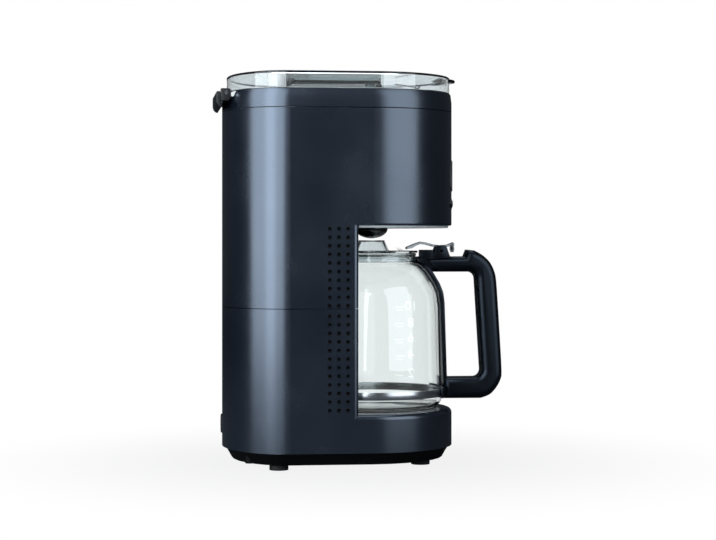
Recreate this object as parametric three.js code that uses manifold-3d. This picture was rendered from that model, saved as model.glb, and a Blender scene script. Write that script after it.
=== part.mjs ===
// Programmable drip coffee maker with a glass jug. Millimetres, +Z up, front towards -Y.
import * as THREE from 'three';
import { mergeVertices } from 'three/addons/utils/BufferGeometryUtils.js';
import Module from 'manifold-3d';

const wasm = await Module();
wasm.setup();

// Driving dimensions: the oblong body
const bodyLength = 212;
const bodyWidth = 168;
const frontEndDepth = 82;
const rearEndDepth = 56;
const wall = 2.6;

// Driving dimensions: heights, stacked from the table upwards
const footHeight = 5.2;
const trayHeight = 10.5;
const baseHeight = 34;
const bayHeight = 167.5;
const headHeight = 104.2;
const ringHeight = 16.8;
const lidHeight = 15;
const seamHeight = 127.3;

// Driving dimensions: the jug and the bay it stands in
const jugSetback = 74;
const jugRadius = 66;
const jugBottomGap = 0.5;
const bayGap = 5.5;
const lipSetback = 95.4;
const lipRadius = 4;
const handleReach = 121.5;

// Clearances shared by all pieces
const fitGap = 0.3;
const seamGap = 0.6;
const overrun = 1;
const endSteps = 14;
const roundSteps = 28;
const smallSteps = 12;

// Levels and places worked out from the driving dimensions
const half = 0.5;
const halfLength = bodyLength * half;
const halfWidth = bodyWidth * half;
const shellLevel = footHeight + trayHeight + fitGap;
const deckLevel = shellLevel + baseHeight;
const seamLevel = shellLevel + seamHeight;
const headLevel = deckLevel + bayHeight;
const ringLevel = headLevel + headHeight;
const ringTop = ringLevel + ringHeight;
const lidLevel = ringTop + fitGap;
const lidTop = lidLevel + lidHeight;
const jugY = jugSetback - halfLength;
const lipY = lipSetback - halfLength;
const recessRadius = jugRadius + bayGap;
const frontCentre = frontEndDepth - halfLength;
const rearCentre = halfLength - rearEndDepth;

// Finishes
function finish(color, roughness, metalness) {
  return new THREE.MeshStandardMaterial({ color, roughness, metalness });
}
const shellBlack = finish(0x23272d, 0.45, 0);
const partBlack = finish(0x101114, 0.5, 0);
const glossBlack = finish(0x08090a, 0.15, 0);
const rubberBlack = finish(0x161616, 0.9, 0);
const clearPlastic = finish(0xdfe9ea, 0.1, 0);
const glassClear = finish(0xe6f0f0, 0.05, 0);
const steel = finish(0xb9bcc0, 0.3, 1);
const aluminium = finish(0xa9adb0, 0.4, 1);
const boardGreen = finish(0x1f5a36, 0.6, 0);
const silicone = finish(0xd8d8d2, 0.6, 0);
const paleGrey = finish(0xb8bcbf, 0.4, 0);

const model = new THREE.Group();
const machine = new THREE.Group();
model.add(machine);

// Closed solids and their joins and cuts
function signedVolume(geometry) {
  const p = geometry.attributes.position;
  const index = geometry.index;
  const a = new THREE.Vector3();
  const b = new THREE.Vector3();
  const c = new THREE.Vector3();
  let volume = 0;
  for (let i = 0; i < index.count; i += 3) {
    a.fromBufferAttribute(p, index.getX(i));
    b.fromBufferAttribute(p, index.getX(i + 1));
    c.fromBufferAttribute(p, index.getX(i + 2));
    volume += a.dot(b.cross(c));
  }
  return volume;
}

function solid(geometry) {
  const bare = geometry.clone();
  bare.deleteAttribute('normal');
  bare.deleteAttribute('uv');
  const merged = mergeVertices(bare);
  const triangles = Uint32Array.from(merged.index.array);
  if (signedVolume(merged) < 0) {
    for (let i = 0; i < triangles.length; i += 3) {
      const swap = triangles[i + 1];
      triangles[i + 1] = triangles[i + 2];
      triangles[i + 2] = swap;
    }
  }
  const vertProperties = Float32Array.from(merged.attributes.position.array);
  return new wasm.Manifold(new wasm.Mesh({ numProp: 3, vertProperties, triVerts: triangles }));
}

function join(first, ...others) {
  return others.reduce((whole, other) => whole.add(other), first);
}

function cut(first, ...others) {
  return others.reduce((whole, other) => whole.subtract(other), first);
}

function toGeometry(shape) {
  const mesh = shape.getMesh();
  const geometry = new THREE.BufferGeometry();
  geometry.setAttribute('position', new THREE.BufferAttribute(Float32Array.from(mesh.vertProperties), 3));
  geometry.setIndex(new THREE.BufferAttribute(Uint32Array.from(mesh.triVerts), 1));
  geometry.computeVertexNormals();
  return geometry;
}

function add(name, shape, material, parent = machine) {
  const mesh = new THREE.Mesh(toGeometry(shape), material.clone());
  mesh.name = name;
  parent.add(mesh);
  return mesh;
}

// Basic solids, each placed where it stands
function block(x0, x1, y0, y1, z0, z1) {
  const box = new THREE.BoxGeometry(x1 - x0, y1 - y0, z1 - z0);
  box.translate((x0 + x1) * half, (y0 + y1) * half, (z0 + z1) * half);
  return solid(box);
}

function post(x, y, radius, z0, z1, steps = smallSteps) {
  const cylinder = new THREE.CylinderGeometry(radius, radius, z1 - z0, steps);
  cylinder.rotateX(Math.PI / 2);
  cylinder.translate(x, y, (z0 + z1) * half);
  return solid(cylinder);
}

function pinAcross(y, z, radius, x0, x1, steps = smallSteps) {
  const cylinder = new THREE.CylinderGeometry(radius, radius, x1 - x0, steps);
  cylinder.rotateZ(Math.PI / 2);
  cylinder.translate((x0 + x1) * half, y, z);
  return solid(cylinder);
}

function pinAlong(x, z, radius, y0, y1, steps = smallSteps) {
  const cylinder = new THREE.CylinderGeometry(radius, radius, y1 - y0, steps);
  cylinder.translate(x, (y0 + y1) * half, z);
  return solid(cylinder);
}

function turned(profile, steps = roundSteps, x = 0, y = jugY) {
  const points = profile.map(([r, z]) => new THREE.Vector2(r, z));
  const lathe = new THREE.LatheGeometry(points, steps);
  lathe.rotateX(Math.PI / 2);
  lathe.translate(x, y, 0);
  return solid(lathe);
}

// A closed ring-shaped profile turned about the vertical axis
function ring(inner, outer, z0, z1, steps = roundSteps, x = 0, y = jugY) {
  return turned([[inner, z0], [outer, z0], [outer, z1], [inner, z1], [inner, z0]], steps, x, y);
}

// A side profile, given as points in (y, z), carried sideways from x0 to x1
function sideProfile(points, x0, x1, bevel = 0, bevelSegments = 2) {
  const shape = new THREE.Shape(points.map(([y, z]) => new THREE.Vector2(y, z)));
  const options = { depth: x1 - x0 - 2 * bevel, bevelEnabled: bevel > 0, steps: 1 };
  options.bevelThickness = bevel;
  options.bevelSize = bevel;
  options.bevelOffset = -bevel;
  options.bevelSegments = bevelSegments;
  const geometry = new THREE.ExtrudeGeometry(shape, options);
  geometry.translate(0, 0, x0 + bevel);
  geometry.applyMatrix4(new THREE.Matrix4().set(0, 0, 1, 0, 1, 0, 0, 0, 0, 1, 0, 0, 0, 0, 0, 1));
  return solid(geometry);
}

// A round tube along a curve
function tube(curve, radius, steps, sides = 10) {
  const circle = new THREE.Shape();
  for (let i = 0; i < sides; i++) {
    const angle = (2 * Math.PI * i) / sides;
    const point = [radius * Math.cos(angle), radius * Math.sin(angle)];
    if (i === 0) circle.moveTo(...point);
    else circle.lineTo(...point);
  }
  circle.closePath();
  return solid(new THREE.ExtrudeGeometry(circle, { steps, extrudePath: curve, bevelEnabled: false }));
}

// A solid through a stack of level outlines that all have the same number of points
function loft(sections) {
  const count = sections[0].outline.length;
  const positions = [];
  for (const { outline, z } of sections) {
    for (const point of outline) positions.push(point.x, point.y, z);
  }
  const faces = [];
  for (let level = 0; level + 1 < sections.length; level++) {
    for (let i = 0; i < count; i++) {
      const next = (i + 1) % count;
      const low = level * count;
      const high = low + count;
      faces.push(low + i, low + next, high + next, low + i, high + next, high + i);
    }
  }
  const last = (sections.length - 1) * count;
  const floor = THREE.ShapeUtils.triangulateShape(sections[0].outline, []);
  const roof = THREE.ShapeUtils.triangulateShape(sections[sections.length - 1].outline, []);
  for (const [a, b, c] of floor) faces.push(a, c, b);
  for (const [a, b, c] of roof) faces.push(last + a, last + b, last + c);
  const geometry = new THREE.BufferGeometry();
  geometry.setAttribute('position', new THREE.Float32BufferAttribute(positions, 3));
  geometry.setIndex(faces);
  return solid(geometry);
}

// Outline of the body seen from above: flat sides between two half ellipses, drawn in by an inset
function bodyOutline(inset, rearInset = inset) {
  const points = [];
  const across = halfWidth - inset;
  for (let i = 0; i <= endSteps; i++) {
    const angle = (Math.PI * i) / endSteps;
    const depth = rearEndDepth - rearInset;
    points.push(new THREE.Vector2(across * Math.cos(angle), rearCentre + depth * Math.sin(angle)));
  }
  for (let i = 0; i <= endSteps; i++) {
    const angle = Math.PI + (Math.PI * i) / endSteps;
    const depth = frontEndDepth - inset;
    points.push(new THREE.Vector2(across * Math.cos(angle), frontCentre + depth * Math.sin(angle)));
  }
  return points;
}

// Outline of the column behind the jug: the rear of the body with a hollow round the jug
function columnOutline(inset) {
  const points = [];
  const across = halfWidth - inset;
  const lip = lipY + inset;
  const corner = lipRadius / (1 + Math.abs(inset) / wall);
  const hollow = recessRadius + inset;
  const cornerSteps = 3;
  for (let i = 0; i <= cornerSteps; i++) {
    const angle = -Math.PI / 2 + (Math.PI / 2) * (i / cornerSteps);
    points.push(new THREE.Vector2(
      across - corner + corner * Math.cos(angle),
      lip + corner + corner * Math.sin(angle),
    ));
  }
  for (let i = 0; i <= endSteps; i++) {
    const angle = (Math.PI * i) / endSteps;
    const depth = rearEndDepth - inset;
    points.push(new THREE.Vector2(across * Math.cos(angle), rearCentre + depth * Math.sin(angle)));
  }
  for (let i = 0; i <= cornerSteps; i++) {
    const angle = Math.PI + (Math.PI / 2) * (i / cornerSteps);
    points.push(new THREE.Vector2(
      corner - across + corner * Math.cos(angle),
      lip + corner + corner * Math.sin(angle),
    ));
  }
  const rise = lip - jugY;
  const chord = Math.sqrt(hollow * hollow - rise * rise);
  const left = Math.atan2(rise, -chord);
  const right = Math.PI - left;
  for (let i = 0; i <= endSteps; i++) {
    const angle = left + (right - left) * (i / endSteps);
    points.push(new THREE.Vector2(hollow * Math.cos(angle), jugY + hollow * Math.sin(angle)));
  }
  return points;
}

function prism(outline, z0, z1) {
  return loft([{ outline, z: z0 }, { outline, z: z1 }]);
}

// Depth of the curved front face at a sideways place, for pieces set into it
function frontFaceY(x, inset = 0) {
  const share = x / (halfWidth - inset);
  return frontCentre - (frontEndDepth - inset) * Math.sqrt(1 - share * share);
}

// Half width of the body's front end at a place between its tip and its flat sides
function frontHalfWidth(y, inset = 0) {
  const share = (y - frontCentre) / (frontEndDepth - inset);
  return (halfWidth - inset) * Math.sqrt(1 - share * share);
}

// Controls in the front face, shared by the shell's openings and the pieces in them
const displayWidth = 50;
const displayHeight = 28;
const displayDrop = 44.5;
const displayRadius = 4;
const displayProud = 0.8;
const cornerSegments = 4;
const buttonProud = 1;
const powerRadius = 5.4;
const keyRadius = 3.6;
const keyNear = 12.5;
const keyFar = 24;
const buttonDrop = 84;
const indicatorRadius = 1.8;
const indicatorDrop = 92.6;
const displayZ = ringLevel - displayDrop - displayHeight * half;
const buttonZ = ringLevel - buttonDrop;
const indicatorZ = ringLevel - indicatorDrop;
const buttons = [
  { name: 'program_button', x: -keyFar, radius: keyRadius },
  { name: 'hour_button', x: -keyNear, radius: keyRadius },
  { name: 'power_button', x: 0, radius: powerRadius },
  { name: 'minute_button', x: keyNear, radius: keyRadius },
  { name: 'auto_button', x: keyFar, radius: keyRadius },
];

function roundedRectangle(width, height, radius, y0, y1, z) {
  const w = width * half - radius;
  const h = height * half - radius;
  const shape = new THREE.Shape();
  shape.moveTo(w + radius, -h);
  shape.absarc(w, h, radius, 0, Math.PI / 2);
  shape.absarc(-w, h, radius, Math.PI / 2, Math.PI);
  shape.absarc(-w, -h, radius, Math.PI, 1.5 * Math.PI);
  shape.absarc(w, -h, radius, 1.5 * Math.PI, 2 * Math.PI);
  const options = { depth: y1 - y0, bevelEnabled: false, curveSegments: cornerSegments };
  const geometry = new THREE.ExtrudeGeometry(shape, options);
  geometry.rotateX(Math.PI / 2);
  geometry.translate(0, y1, z);
  return solid(geometry);
}

// Rows of shallow round dimples beside the front edge of the column, the same on both sides
const dimpleRadius = 1.5;
const dimpleDepth = 0.8;
const dimplePitch = 7.55;
const dimpleColumnPitch = 8.1;
const dimpleColumns = 3;
const dimpleRowsAbove = 10;
const dimpleRowsBelow = 12;
const dimpleAboveSeam = 1.9;
const dimpleBelowSeam = 6.2;
const dimpleSetback = 9.6;
const dimpleSides = 6;
function dimples(firstZ, step, rows) {
  const all = [];
  for (const side of [-1, 1]) {
    for (let column = 0; column < dimpleColumns; column++) {
      for (let row = 0; row < rows; row++) {
        const y = lipY + dimpleSetback + column * dimpleColumnPitch;
        const z = firstZ + row * step;
        const face = side * halfWidth;
        const [x0, x1] = side > 0
          ? [face - dimpleDepth, face + overrun]
          : [face - overrun, face + dimpleDepth];
        all.push(pinAcross(y, z, dimpleRadius, x0, x1, dimpleSides));
      }
    }
  }
  return join(...all);
}

// Upper shell: column and head in one moulding, open at the top and at the seam
const valveOpening = 23;
const upperOuter = join(
  prism(columnOutline(0), seamLevel + seamGap, headLevel + wall * half),
  prism(bodyOutline(0), headLevel, ringLevel - seamGap),
);
const upperInner = join(
  prism(columnOutline(wall), seamLevel - overrun, headLevel + wall + overrun),
  prism(bodyOutline(wall), headLevel + wall, ringLevel + overrun),
);
const wallReach = 3 * wall;
const controlCuts = buttons.map(({ x, radius }) => {
  const face = frontFaceY(x);
  return pinAlong(x, buttonZ, radius + fitGap, face - wallReach, face + wallReach);
});
const displayCut = roundedRectangle(
  displayWidth + 2 * fitGap,
  displayHeight + 2 * fitGap,
  displayRadius + fitGap,
  frontFaceY(0) - wallReach,
  frontFaceY(displayWidth * half) + wallReach,
  displayZ,
);
const indicatorCut = pinAlong(
  0,
  indicatorZ,
  indicatorRadius + fitGap,
  frontFaceY(0) - wallReach,
  frontFaceY(0) + wallReach,
);
add('upper_shell', cut(
  upperOuter,
  upperInner,
  post(0, jugY, valveOpening, headLevel - overrun, headLevel + wall + overrun, roundSteps),
  displayCut,
  indicatorCut,
  ...controlCuts,
  dimples(seamLevel + dimpleAboveSeam, dimplePitch, dimpleRowsAbove),
), shellBlack);

// Lower shell: column foot and base, with the warming plate's hole in its deck
const deckEdgeRadius = 4.5;
const deckEdgeSteps = 3;
const plateInset = 8;
const plateRadius = jugRadius - plateInset;
const sealWidth = 1.6;
const plateHole = plateRadius + sealWidth + 2 * fitGap;
const bossRadius = 4.2;
const screwRadius = 1.6;
const screwDepth = 24;
const trayLip = 3.5;
const bossLevel = shellLevel + trayLip + fitGap;
const frontBossInset = 16.5;
const frontBoss = { x: halfWidth - frontBossInset, y: jugY };
const rearBossShare = 0.6;
const rearBossInset = 32;
const rearBoss = { x: halfWidth - rearBossInset, y: rearCentre + rearEndDepth * rearBossShare };
const bossPlaces = [];
for (const place of [frontBoss, rearBoss]) {
  bossPlaces.push([place.x, place.y], [-place.x, place.y]);
}
const glandRadius = 7;
const glandX = 34;
const glandZ = shellLevel + baseHeight * half;
const glandWallY = rearCentre + rearEndDepth * Math.sqrt(1 - (glandX / halfWidth) ** 2);
const baseSections = [{ outline: bodyOutline(0), z: shellLevel }];
for (let i = 0; i <= deckEdgeSteps; i++) {
  const angle = (Math.PI / 2) * (i / deckEdgeSteps);
  baseSections.push({
    outline: bodyOutline(deckEdgeRadius * (1 - Math.cos(angle))),
    z: deckLevel - deckEdgeRadius * (1 - Math.sin(angle)),
  });
}
const lowerOuter = join(
  loft(baseSections),
  prism(columnOutline(0), deckLevel - deckEdgeRadius * 2, seamLevel),
);
const lowerInner = join(
  prism(bodyOutline(wall), shellLevel - overrun, deckLevel - wall - deckEdgeRadius * half),
  prism(bodyOutline(wall + deckEdgeRadius * half), deckLevel - wall * 2, deckLevel - wall),
  prism(columnOutline(wall), deckLevel - wall * 2, seamLevel + overrun),
);
const bossRib = 3;
const bosses = bossPlaces.map(([x, y]) => {
  const top = deckLevel - wall * half;
  const rib = y > jugY + recessRadius
    ? block(x - bossRib * half, x + bossRib * half, y, halfLength, bossLevel, top)
    : post(x, y, bossRadius * half, bossLevel, top);
  return join(post(x, y, bossRadius, bossLevel, top), rib).intersect(lowerOuter);
});
const bossBores = bossPlaces.map(([x, y]) => {
  return post(x, y, screwRadius + fitGap, bossLevel - overrun, bossLevel + screwDepth);
});
add('lower_shell', cut(
  join(cut(lowerOuter, lowerInner), ...bosses),
  post(0, jugY, plateHole, deckLevel - wall * 3, deckLevel + overrun, roundSteps),
  ...bossBores,
  pinAlong(glandX, glandZ, glandRadius + fitGap, glandWallY - wallReach, glandWallY + wallReach),
  dimples(seamLevel - dimpleBelowSeam, -dimplePitch, dimpleRowsBelow),
), shellBlack);

// Base tray, tapered in towards the table, with a lip inside the shell and posts under the bosses
const trayInsetTop = 3;
const trayInsetFloor = 9;
const trayFloor = 2.5;
const lipWall = 2;
const lipInset = wall + fitGap;
const trayTop = shellLevel - fitGap;
const trayOuter = loft([
  { outline: bodyOutline(trayInsetFloor), z: footHeight },
  { outline: bodyOutline(trayInsetTop), z: trayTop },
  { outline: bodyOutline(trayInsetTop), z: trayTop + fitGap },
  { outline: bodyOutline(lipInset + fitGap), z: trayTop + fitGap },
  { outline: bodyOutline(lipInset + fitGap), z: shellLevel + trayLip },
]);
const trayInner = loft([
  { outline: bodyOutline(trayInsetFloor + wall), z: footHeight + trayFloor },
  { outline: bodyOutline(lipInset + fitGap + lipWall), z: trayTop },
  { outline: bodyOutline(lipInset + fitGap + lipWall), z: shellLevel + trayLip + overrun },
]);
const screwHeadRadius = 3;
const screwHeadHeight = 2;
const postTop = bossLevel - fitGap;
const trayPosts = bossPlaces.map(([x, y]) => post(x, y, bossRadius, footHeight, postTop));
const screwBores = bossPlaces.flatMap(([x, y]) => [
  post(x, y, screwRadius + fitGap, footHeight - overrun, postTop + overrun),
  post(x, y, screwHeadRadius + fitGap, footHeight - overrun, footHeight + screwHeadHeight + fitGap),
]);
const machineTrayParts = join(cut(trayOuter, trayInner), ...trayPosts);

// Stands moulded on the tray floor: under the warming element and beside the control board
const trayDeck = footHeight + trayFloor;
const elementRadius = 40;
const elementTube = 4.5;
const plateThickness = 1.2;
const plateRim = 5;
const plateTop = deckLevel + fitGap;
const elementZ = plateTop - plateThickness - 3 * fitGap - elementTube;
const standAngleShare = 0.25;
const standRadius = 3;
const standPlaces = [];
for (let i = 0; i < 4; i++) {
  const angle = Math.PI * (standAngleShare + half * i);
  standPlaces.push([elementRadius * Math.cos(angle), jugY + elementRadius * Math.sin(angle)]);
}
const standTop = elementZ - elementTube - fitGap;
const stands = standPlaces.map(([x, y]) => post(x, y, standRadius, footHeight + trayFloor * half, standTop));
const boardWidth = 72;
const boardHeight = 62;
const boardThickness = 1.6;
const boardLift = 38;
const boardZ = trayDeck + boardLift;
const boardY = rearCentre + rearEndDepth * half;
const guideWidth = 5;
const guides = [-1, 1].map((side) => {
  const edge = side * boardWidth * half;
  const inner = edge - side * guideWidth;
  const outer = edge + side * guideWidth;
  const guide = block(Math.min(inner, outer), Math.max(inner, outer),
    boardY - guideWidth, boardY + guideWidth,
    footHeight + trayFloor * half, boardZ + boardHeight * half);
  const slotInner = edge - side * (guideWidth + overrun);
  const slotOuter = edge + side * fitGap;
  return cut(guide, block(Math.min(slotInner, slotOuter), Math.max(slotInner, slotOuter),
    boardY - boardThickness * half - fitGap, boardY + boardThickness * half + fitGap,
    boardZ - fitGap, boardZ + boardHeight));
});
add('base_plate', cut(join(machineTrayParts, ...stands, ...guides), ...screwBores), partBlack);

// Rubber feet and the screws that hold the tray
const footRadius = 8.5;
const rearFootShare = 0.15;
const frontFootShare = 0.6;
const rearFootInset = 23;
const frontFootInset = 53;
const rearFoot = { x: halfWidth - rearFootInset, y: rearCentre + rearEndDepth * rearFootShare };
const frontFoot = { x: halfWidth - frontFootInset, y: frontCentre - frontEndDepth * frontFootShare };
const footPlaces = [rearFoot, frontFoot].flatMap(({ x, y }) => [[x, y], [-x, y]]);
footPlaces.forEach(([x, y], i) => {
  const foot = post(x, y, footRadius, 0, footHeight - fitGap, roundSteps * half);
  add(`rubber_foot_${i + 1}`, foot, rubberBlack);
});
bossPlaces.forEach(([x, y], i) => {
  add(`base_screw_${i + 1}`, join(
    post(x, y, screwHeadRadius, footHeight, footHeight + screwHeadHeight),
    post(x, y, screwRadius, footHeight, bossLevel + screwDepth - overrun, smallSteps * half),
  ), steel);
});

// Warming plate, its seal, the heating element under it and the safety cut-outs on the element
add('hot_plate', turned([
  [0, plateTop - plateThickness],
  [plateRadius - plateThickness, plateTop - plateThickness],
  [plateRadius - plateThickness, plateTop - plateRim],
  [plateRadius, plateTop - plateRim],
  [plateRadius, plateTop - plateThickness * half],
  [plateRadius - plateThickness * half, plateTop],
  [0, plateTop],
]), glossBlack);
const plateSeal = ring(plateRadius + fitGap, plateRadius + fitGap + sealWidth, deckLevel - wall, deckLevel);
add('hot_plate_seal', plateSeal, silicone);
const legX = 18;
const legRear = 20;
const legDrop = 3.6;
const legZ = elementZ - legDrop;
const legFront = 13;
const elementTurns = 8;
const elementOpenShare = 0.16;
const elementPoints = [new THREE.Vector3(legX, legRear, legZ), new THREE.Vector3(legX, legFront, legZ)];
const elementSweep = 2 * Math.PI * (1 - elementOpenShare);
for (let i = 0; i <= elementTurns; i++) {
  const angle = Math.PI * half - Math.PI * elementOpenShare - elementSweep * (i / elementTurns);
  elementPoints.push(new THREE.Vector3(
    elementRadius * Math.cos(angle),
    jugY + elementRadius * Math.sin(angle),
    elementZ,
  ));
}
elementPoints.push(new THREE.Vector3(-legX, legFront, legZ), new THREE.Vector3(-legX, legRear, legZ));
const elementCurve = new THREE.CatmullRomCurve3(elementPoints, false, 'centripetal');
const elementSteps = 34;
const elementSides = 8;
add('heating_element', tube(elementCurve, elementTube, elementSteps, elementSides), aluminium);
const stripWidth = 9;
const stripThickness = 3;
const stripShare = 0.4;
const stripTop = elementZ - elementTube * stripShare;
const spanHalf = elementRadius - elementTube - 3 * fitGap;
add('element_bridge', join(
  block(-spanHalf, spanHalf, jugY - stripWidth, jugY + stripWidth, stripTop - stripThickness, stripTop),
  block(-stripWidth, stripWidth, jugY - stripWidth, jugY + stripWidth, stripTop - overrun,
    plateTop - plateThickness - fitGap),
), aluminium);
const cutoutRadius = 7;
const cutoutHeight = 6;
const cutoutTop = stripTop - stripThickness - fitGap;
const cutout = post(-cutoutRadius * 2, jugY, cutoutRadius, cutoutTop - cutoutHeight, cutoutTop);
add('thermostat', cutout, partBlack);
const fuseRadius = 2;
const fuseLength = 12;
const fuseZ = cutoutTop - fuseRadius;
[1, 2].forEach((place) => {
  add(`thermal_fuse_${place}`, pinAlong(cutoutRadius * place, fuseZ, fuseRadius, jugY - fuseLength * half,
    jugY + fuseLength * half, smallSteps * half), steel);
});

// Control board between its guides, with its relay and transformer
const sideShare = 1.5;
const relay = { width: 16, depth: 14, height: 19 };
const transformer = { width: 24, depth: 18, height: 22 };
const boardFront = boardY - boardThickness * half;
const boardParts = join(
  block(-boardWidth * half, boardWidth * half, boardFront, boardFront + boardThickness,
    boardZ, boardZ + boardHeight),
  block(-relay.width * sideShare, -relay.width * half, boardFront - relay.depth,
    boardFront + boardThickness * half, boardZ + relay.height, boardZ + relay.height * 2),
  block(0, transformer.width, boardFront - transformer.depth, boardFront + boardThickness * half,
    boardZ + transformer.height * half, boardZ + transformer.height * sideShare),
);
add('control_board', boardParts, boardGreen);

// Cord inlet bush in the rear wall
const glandLip = 2;
const glandBore = 3.6;
const glandInner = glandWallY - wallReach;
const glandOuter = glandWallY + wall + glandLip;
add('cord_gland', cut(
  join(
    pinAlong(glandX, glandZ, glandRadius, glandInner, glandOuter),
    pinAlong(glandX, glandZ, glandRadius + glandLip, glandOuter - glandLip, glandOuter),
  ),
  pinAlong(glandX, glandZ, glandBore, glandInner - overrun, glandOuter + overrun),
), rubberBlack);

// Water tank that fills the column, with a bush for the riser and the outlet in its floor
const tankWall = 2;
const tankGap = 0.7;
const tankRise = 6;
const tankDrop = 4;
const tankFloorZ = seamLevel + tankRise;
const tankTop = ringTop - tankDrop;
const tankInset = 2 * wall + tankGap;
const riserRadius = 5;
const riserX = 64;
const riserSetback = 22;
const riserY = rearCentre - riserSetback;
const outletX = -riserX;
const outletRadius = 5;
const tankOuter = prism(columnOutline(tankInset), tankFloorZ, tankTop);
const tankInner = prism(columnOutline(tankInset + tankWall), tankFloorZ + tankWall, tankTop + overrun);
add('water_tank', cut(
  cut(tankOuter, tankInner),
  post(riserX, riserY, riserRadius + fitGap, tankFloorZ - overrun, tankFloorZ + tankWall + overrun),
  post(outletX, riserY, outletRadius + fitGap, tankFloorZ - overrun, tankFloorZ + tankWall + overrun),
), clearPlastic);

// Check valve in the tank outlet, the two hoses below and the riser up through the tank
const valveFlange = 2.5;
const checkDrop = 22;
const checkRadius = outletRadius + valveFlange;
const hoseWall = 1.8;
add('check_valve', cut(
  join(
    post(outletX, riserY, outletRadius, tankFloorZ - checkDrop, tankFloorZ + tankWall + valveFlange),
    post(outletX, riserY, checkRadius, tankFloorZ - valveFlange - fitGap, tankFloorZ - fitGap),
    post(outletX, riserY, checkRadius, tankFloorZ + tankWall + fitGap,
      tankFloorZ + tankWall + fitGap + valveFlange),
  ),
  post(outletX, riserY, outletRadius - hoseWall, tankFloorZ - checkDrop - overrun,
    tankFloorZ + tankWall + valveFlange * 2),
), partBlack);
const hoseSteps = 18;
const hoseSides = 8;
function elementHose(side) {
  const reach = elementRadius * half;
  const top = tankFloorZ - checkDrop - fitGap;
  const x = side * riserX;
  return tube(new THREE.CatmullRomCurve3([
    new THREE.Vector3(x, riserY, top),
    new THREE.Vector3(x, riserY, (top + elementZ) * half),
    new THREE.Vector3(x, riserY + riserRadius * half, elementZ + reach * sideShare),
    new THREE.Vector3(x - side * reach * half, riserY + reach, elementZ + reach * half),
    new THREE.Vector3(side * (legX + riserRadius * 2), riserY + reach, legZ),
    new THREE.Vector3(side * legX, legRear + riserRadius * 2, legZ),
    new THREE.Vector3(side * legX, legRear + fitGap, legZ),
  ], false, 'centripetal'), riserRadius, hoseSteps, hoseSides);
}
add('inlet_hose', elementHose(-1), silicone);
add('outlet_hose', elementHose(1), silicone);
const riserDrop = 6;
const riserTop = ringTop - riserDrop;
add('riser_tube', post(riserX, riserY, riserRadius, tankFloorZ - checkDrop, riserTop), silicone);

// Rim ring round the top of the head, notched at the rear for the lid's hinge barrel
const hingeSetback = 1.7;
const hingeDrop = 1.9;
const hingeY = halfLength - hingeSetback;
const hingeZ = ringTop - hingeDrop;
const barrelRadius = 4.4;
const barrelBore = 2.2;
const pinRadius = 1.9;
const barrelHalf = 33.5;
const earWidth = 8;
const earOuter = barrelHalf + fitGap + earWidth;
const notchGap = 1.2;
const notchDepth = barrelRadius + notchGap;
const ringTaper = 1.2;
const ringOuter = loft([
  { outline: bodyOutline(0), z: ringLevel },
  { outline: bodyOutline(0), z: ringLevel + ringHeight * half },
  { outline: bodyOutline(ringTaper), z: ringTop },
]);
const spigotDepth = 4;
const ringSpigot = ringLevel - spigotDepth;
const ringPlug = prism(bodyOutline(wall + fitGap), ringSpigot, ringLevel + wall);
const ringInner = prism(bodyOutline(wall * 2), ringSpigot - overrun, ringTop + overrun);
const hingeNotch = block(-earOuter - overrun, earOuter + overrun, hingeY - notchDepth, halfLength + overrun,
  hingeZ - notchDepth, ringTop + overrun);
add('rim_ring', cut(join(ringOuter, ringPlug), ringInner, hingeNotch), shellBlack);

// Hinge bracket behind the ring: two ears that hold the pin and a guard leaf behind the barrel
const bracketReach = 7.1;
const bracketRear = halfLength + bracketReach;
const bracketDrop = 14.9;
const leafWidth = 3.6;
const leafRadius = 3;
const earRadius = 4.6;
const leafRise = 1.4;
const leafTop = hingeZ + leafRise;
const bracketLow = ringTop - bracketDrop;
const bracketSteps = 6;
const bracketPoints = [];
for (let i = 0; i <= bracketSteps; i++) {
  const angle = -Math.PI / 2 + (Math.PI / 2) * (i / bracketSteps);
  bracketPoints.push([
    bracketRear - leafRadius + leafRadius * Math.cos(angle),
    bracketLow + leafRadius + leafRadius * Math.sin(angle),
  ]);
}
bracketPoints.push([bracketRear, leafTop], [bracketRear - leafWidth, leafTop]);
bracketPoints.push([hingeY + earRadius, hingeZ]);
for (let i = 1; i <= bracketSteps; i++) {
  const angle = Math.PI * (i / bracketSteps);
  bracketPoints.push([hingeY + earRadius * Math.cos(angle), hingeZ + earRadius * Math.sin(angle)]);
}
bracketPoints.push([hingeY - earRadius, bracketLow]);
const clearHalf = barrelHalf + fitGap;
const clearRadius = barrelRadius + 2 * fitGap;
const clearTop = ringTop + bracketDrop;
const barrelClear = join(
  pinAcross(hingeY, hingeZ, clearRadius, -clearHalf, clearHalf, roundSteps * half),
  block(-clearHalf, clearHalf, hingeY - earRadius * 2, hingeY + clearRadius, hingeZ, clearTop),
  block(-clearHalf, clearHalf, 0, hingeY, hingeZ - notchDepth + fitGap, clearTop),
);
const ringClear = loft([
  { outline: bodyOutline(-fitGap), z: shellLevel },
  { outline: bodyOutline(-fitGap), z: ringTop + overrun },
]);
add('hinge_bracket', cut(
  sideProfile(bracketPoints, -earOuter, earOuter),
  barrelClear,
  cut(ringClear, hingeNotch),
  block(-earOuter - overrun, earOuter + overrun, 0, hingeY - notchDepth + fitGap,
    bracketLow - overrun, ringTop + overrun),
  block(-earOuter - overrun, earOuter + overrun, 0, hingeY + fitGap,
    bracketLow - overrun, hingeZ - notchDepth + fitGap),
  pinAcross(hingeY, hingeZ, pinRadius + fitGap, -earOuter - overrun, earOuter + overrun),
), partBlack);
add('hinge_pin', pinAcross(hingeY, hingeZ, pinRadius, -earOuter, earOuter, smallSteps * half), steel);

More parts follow.
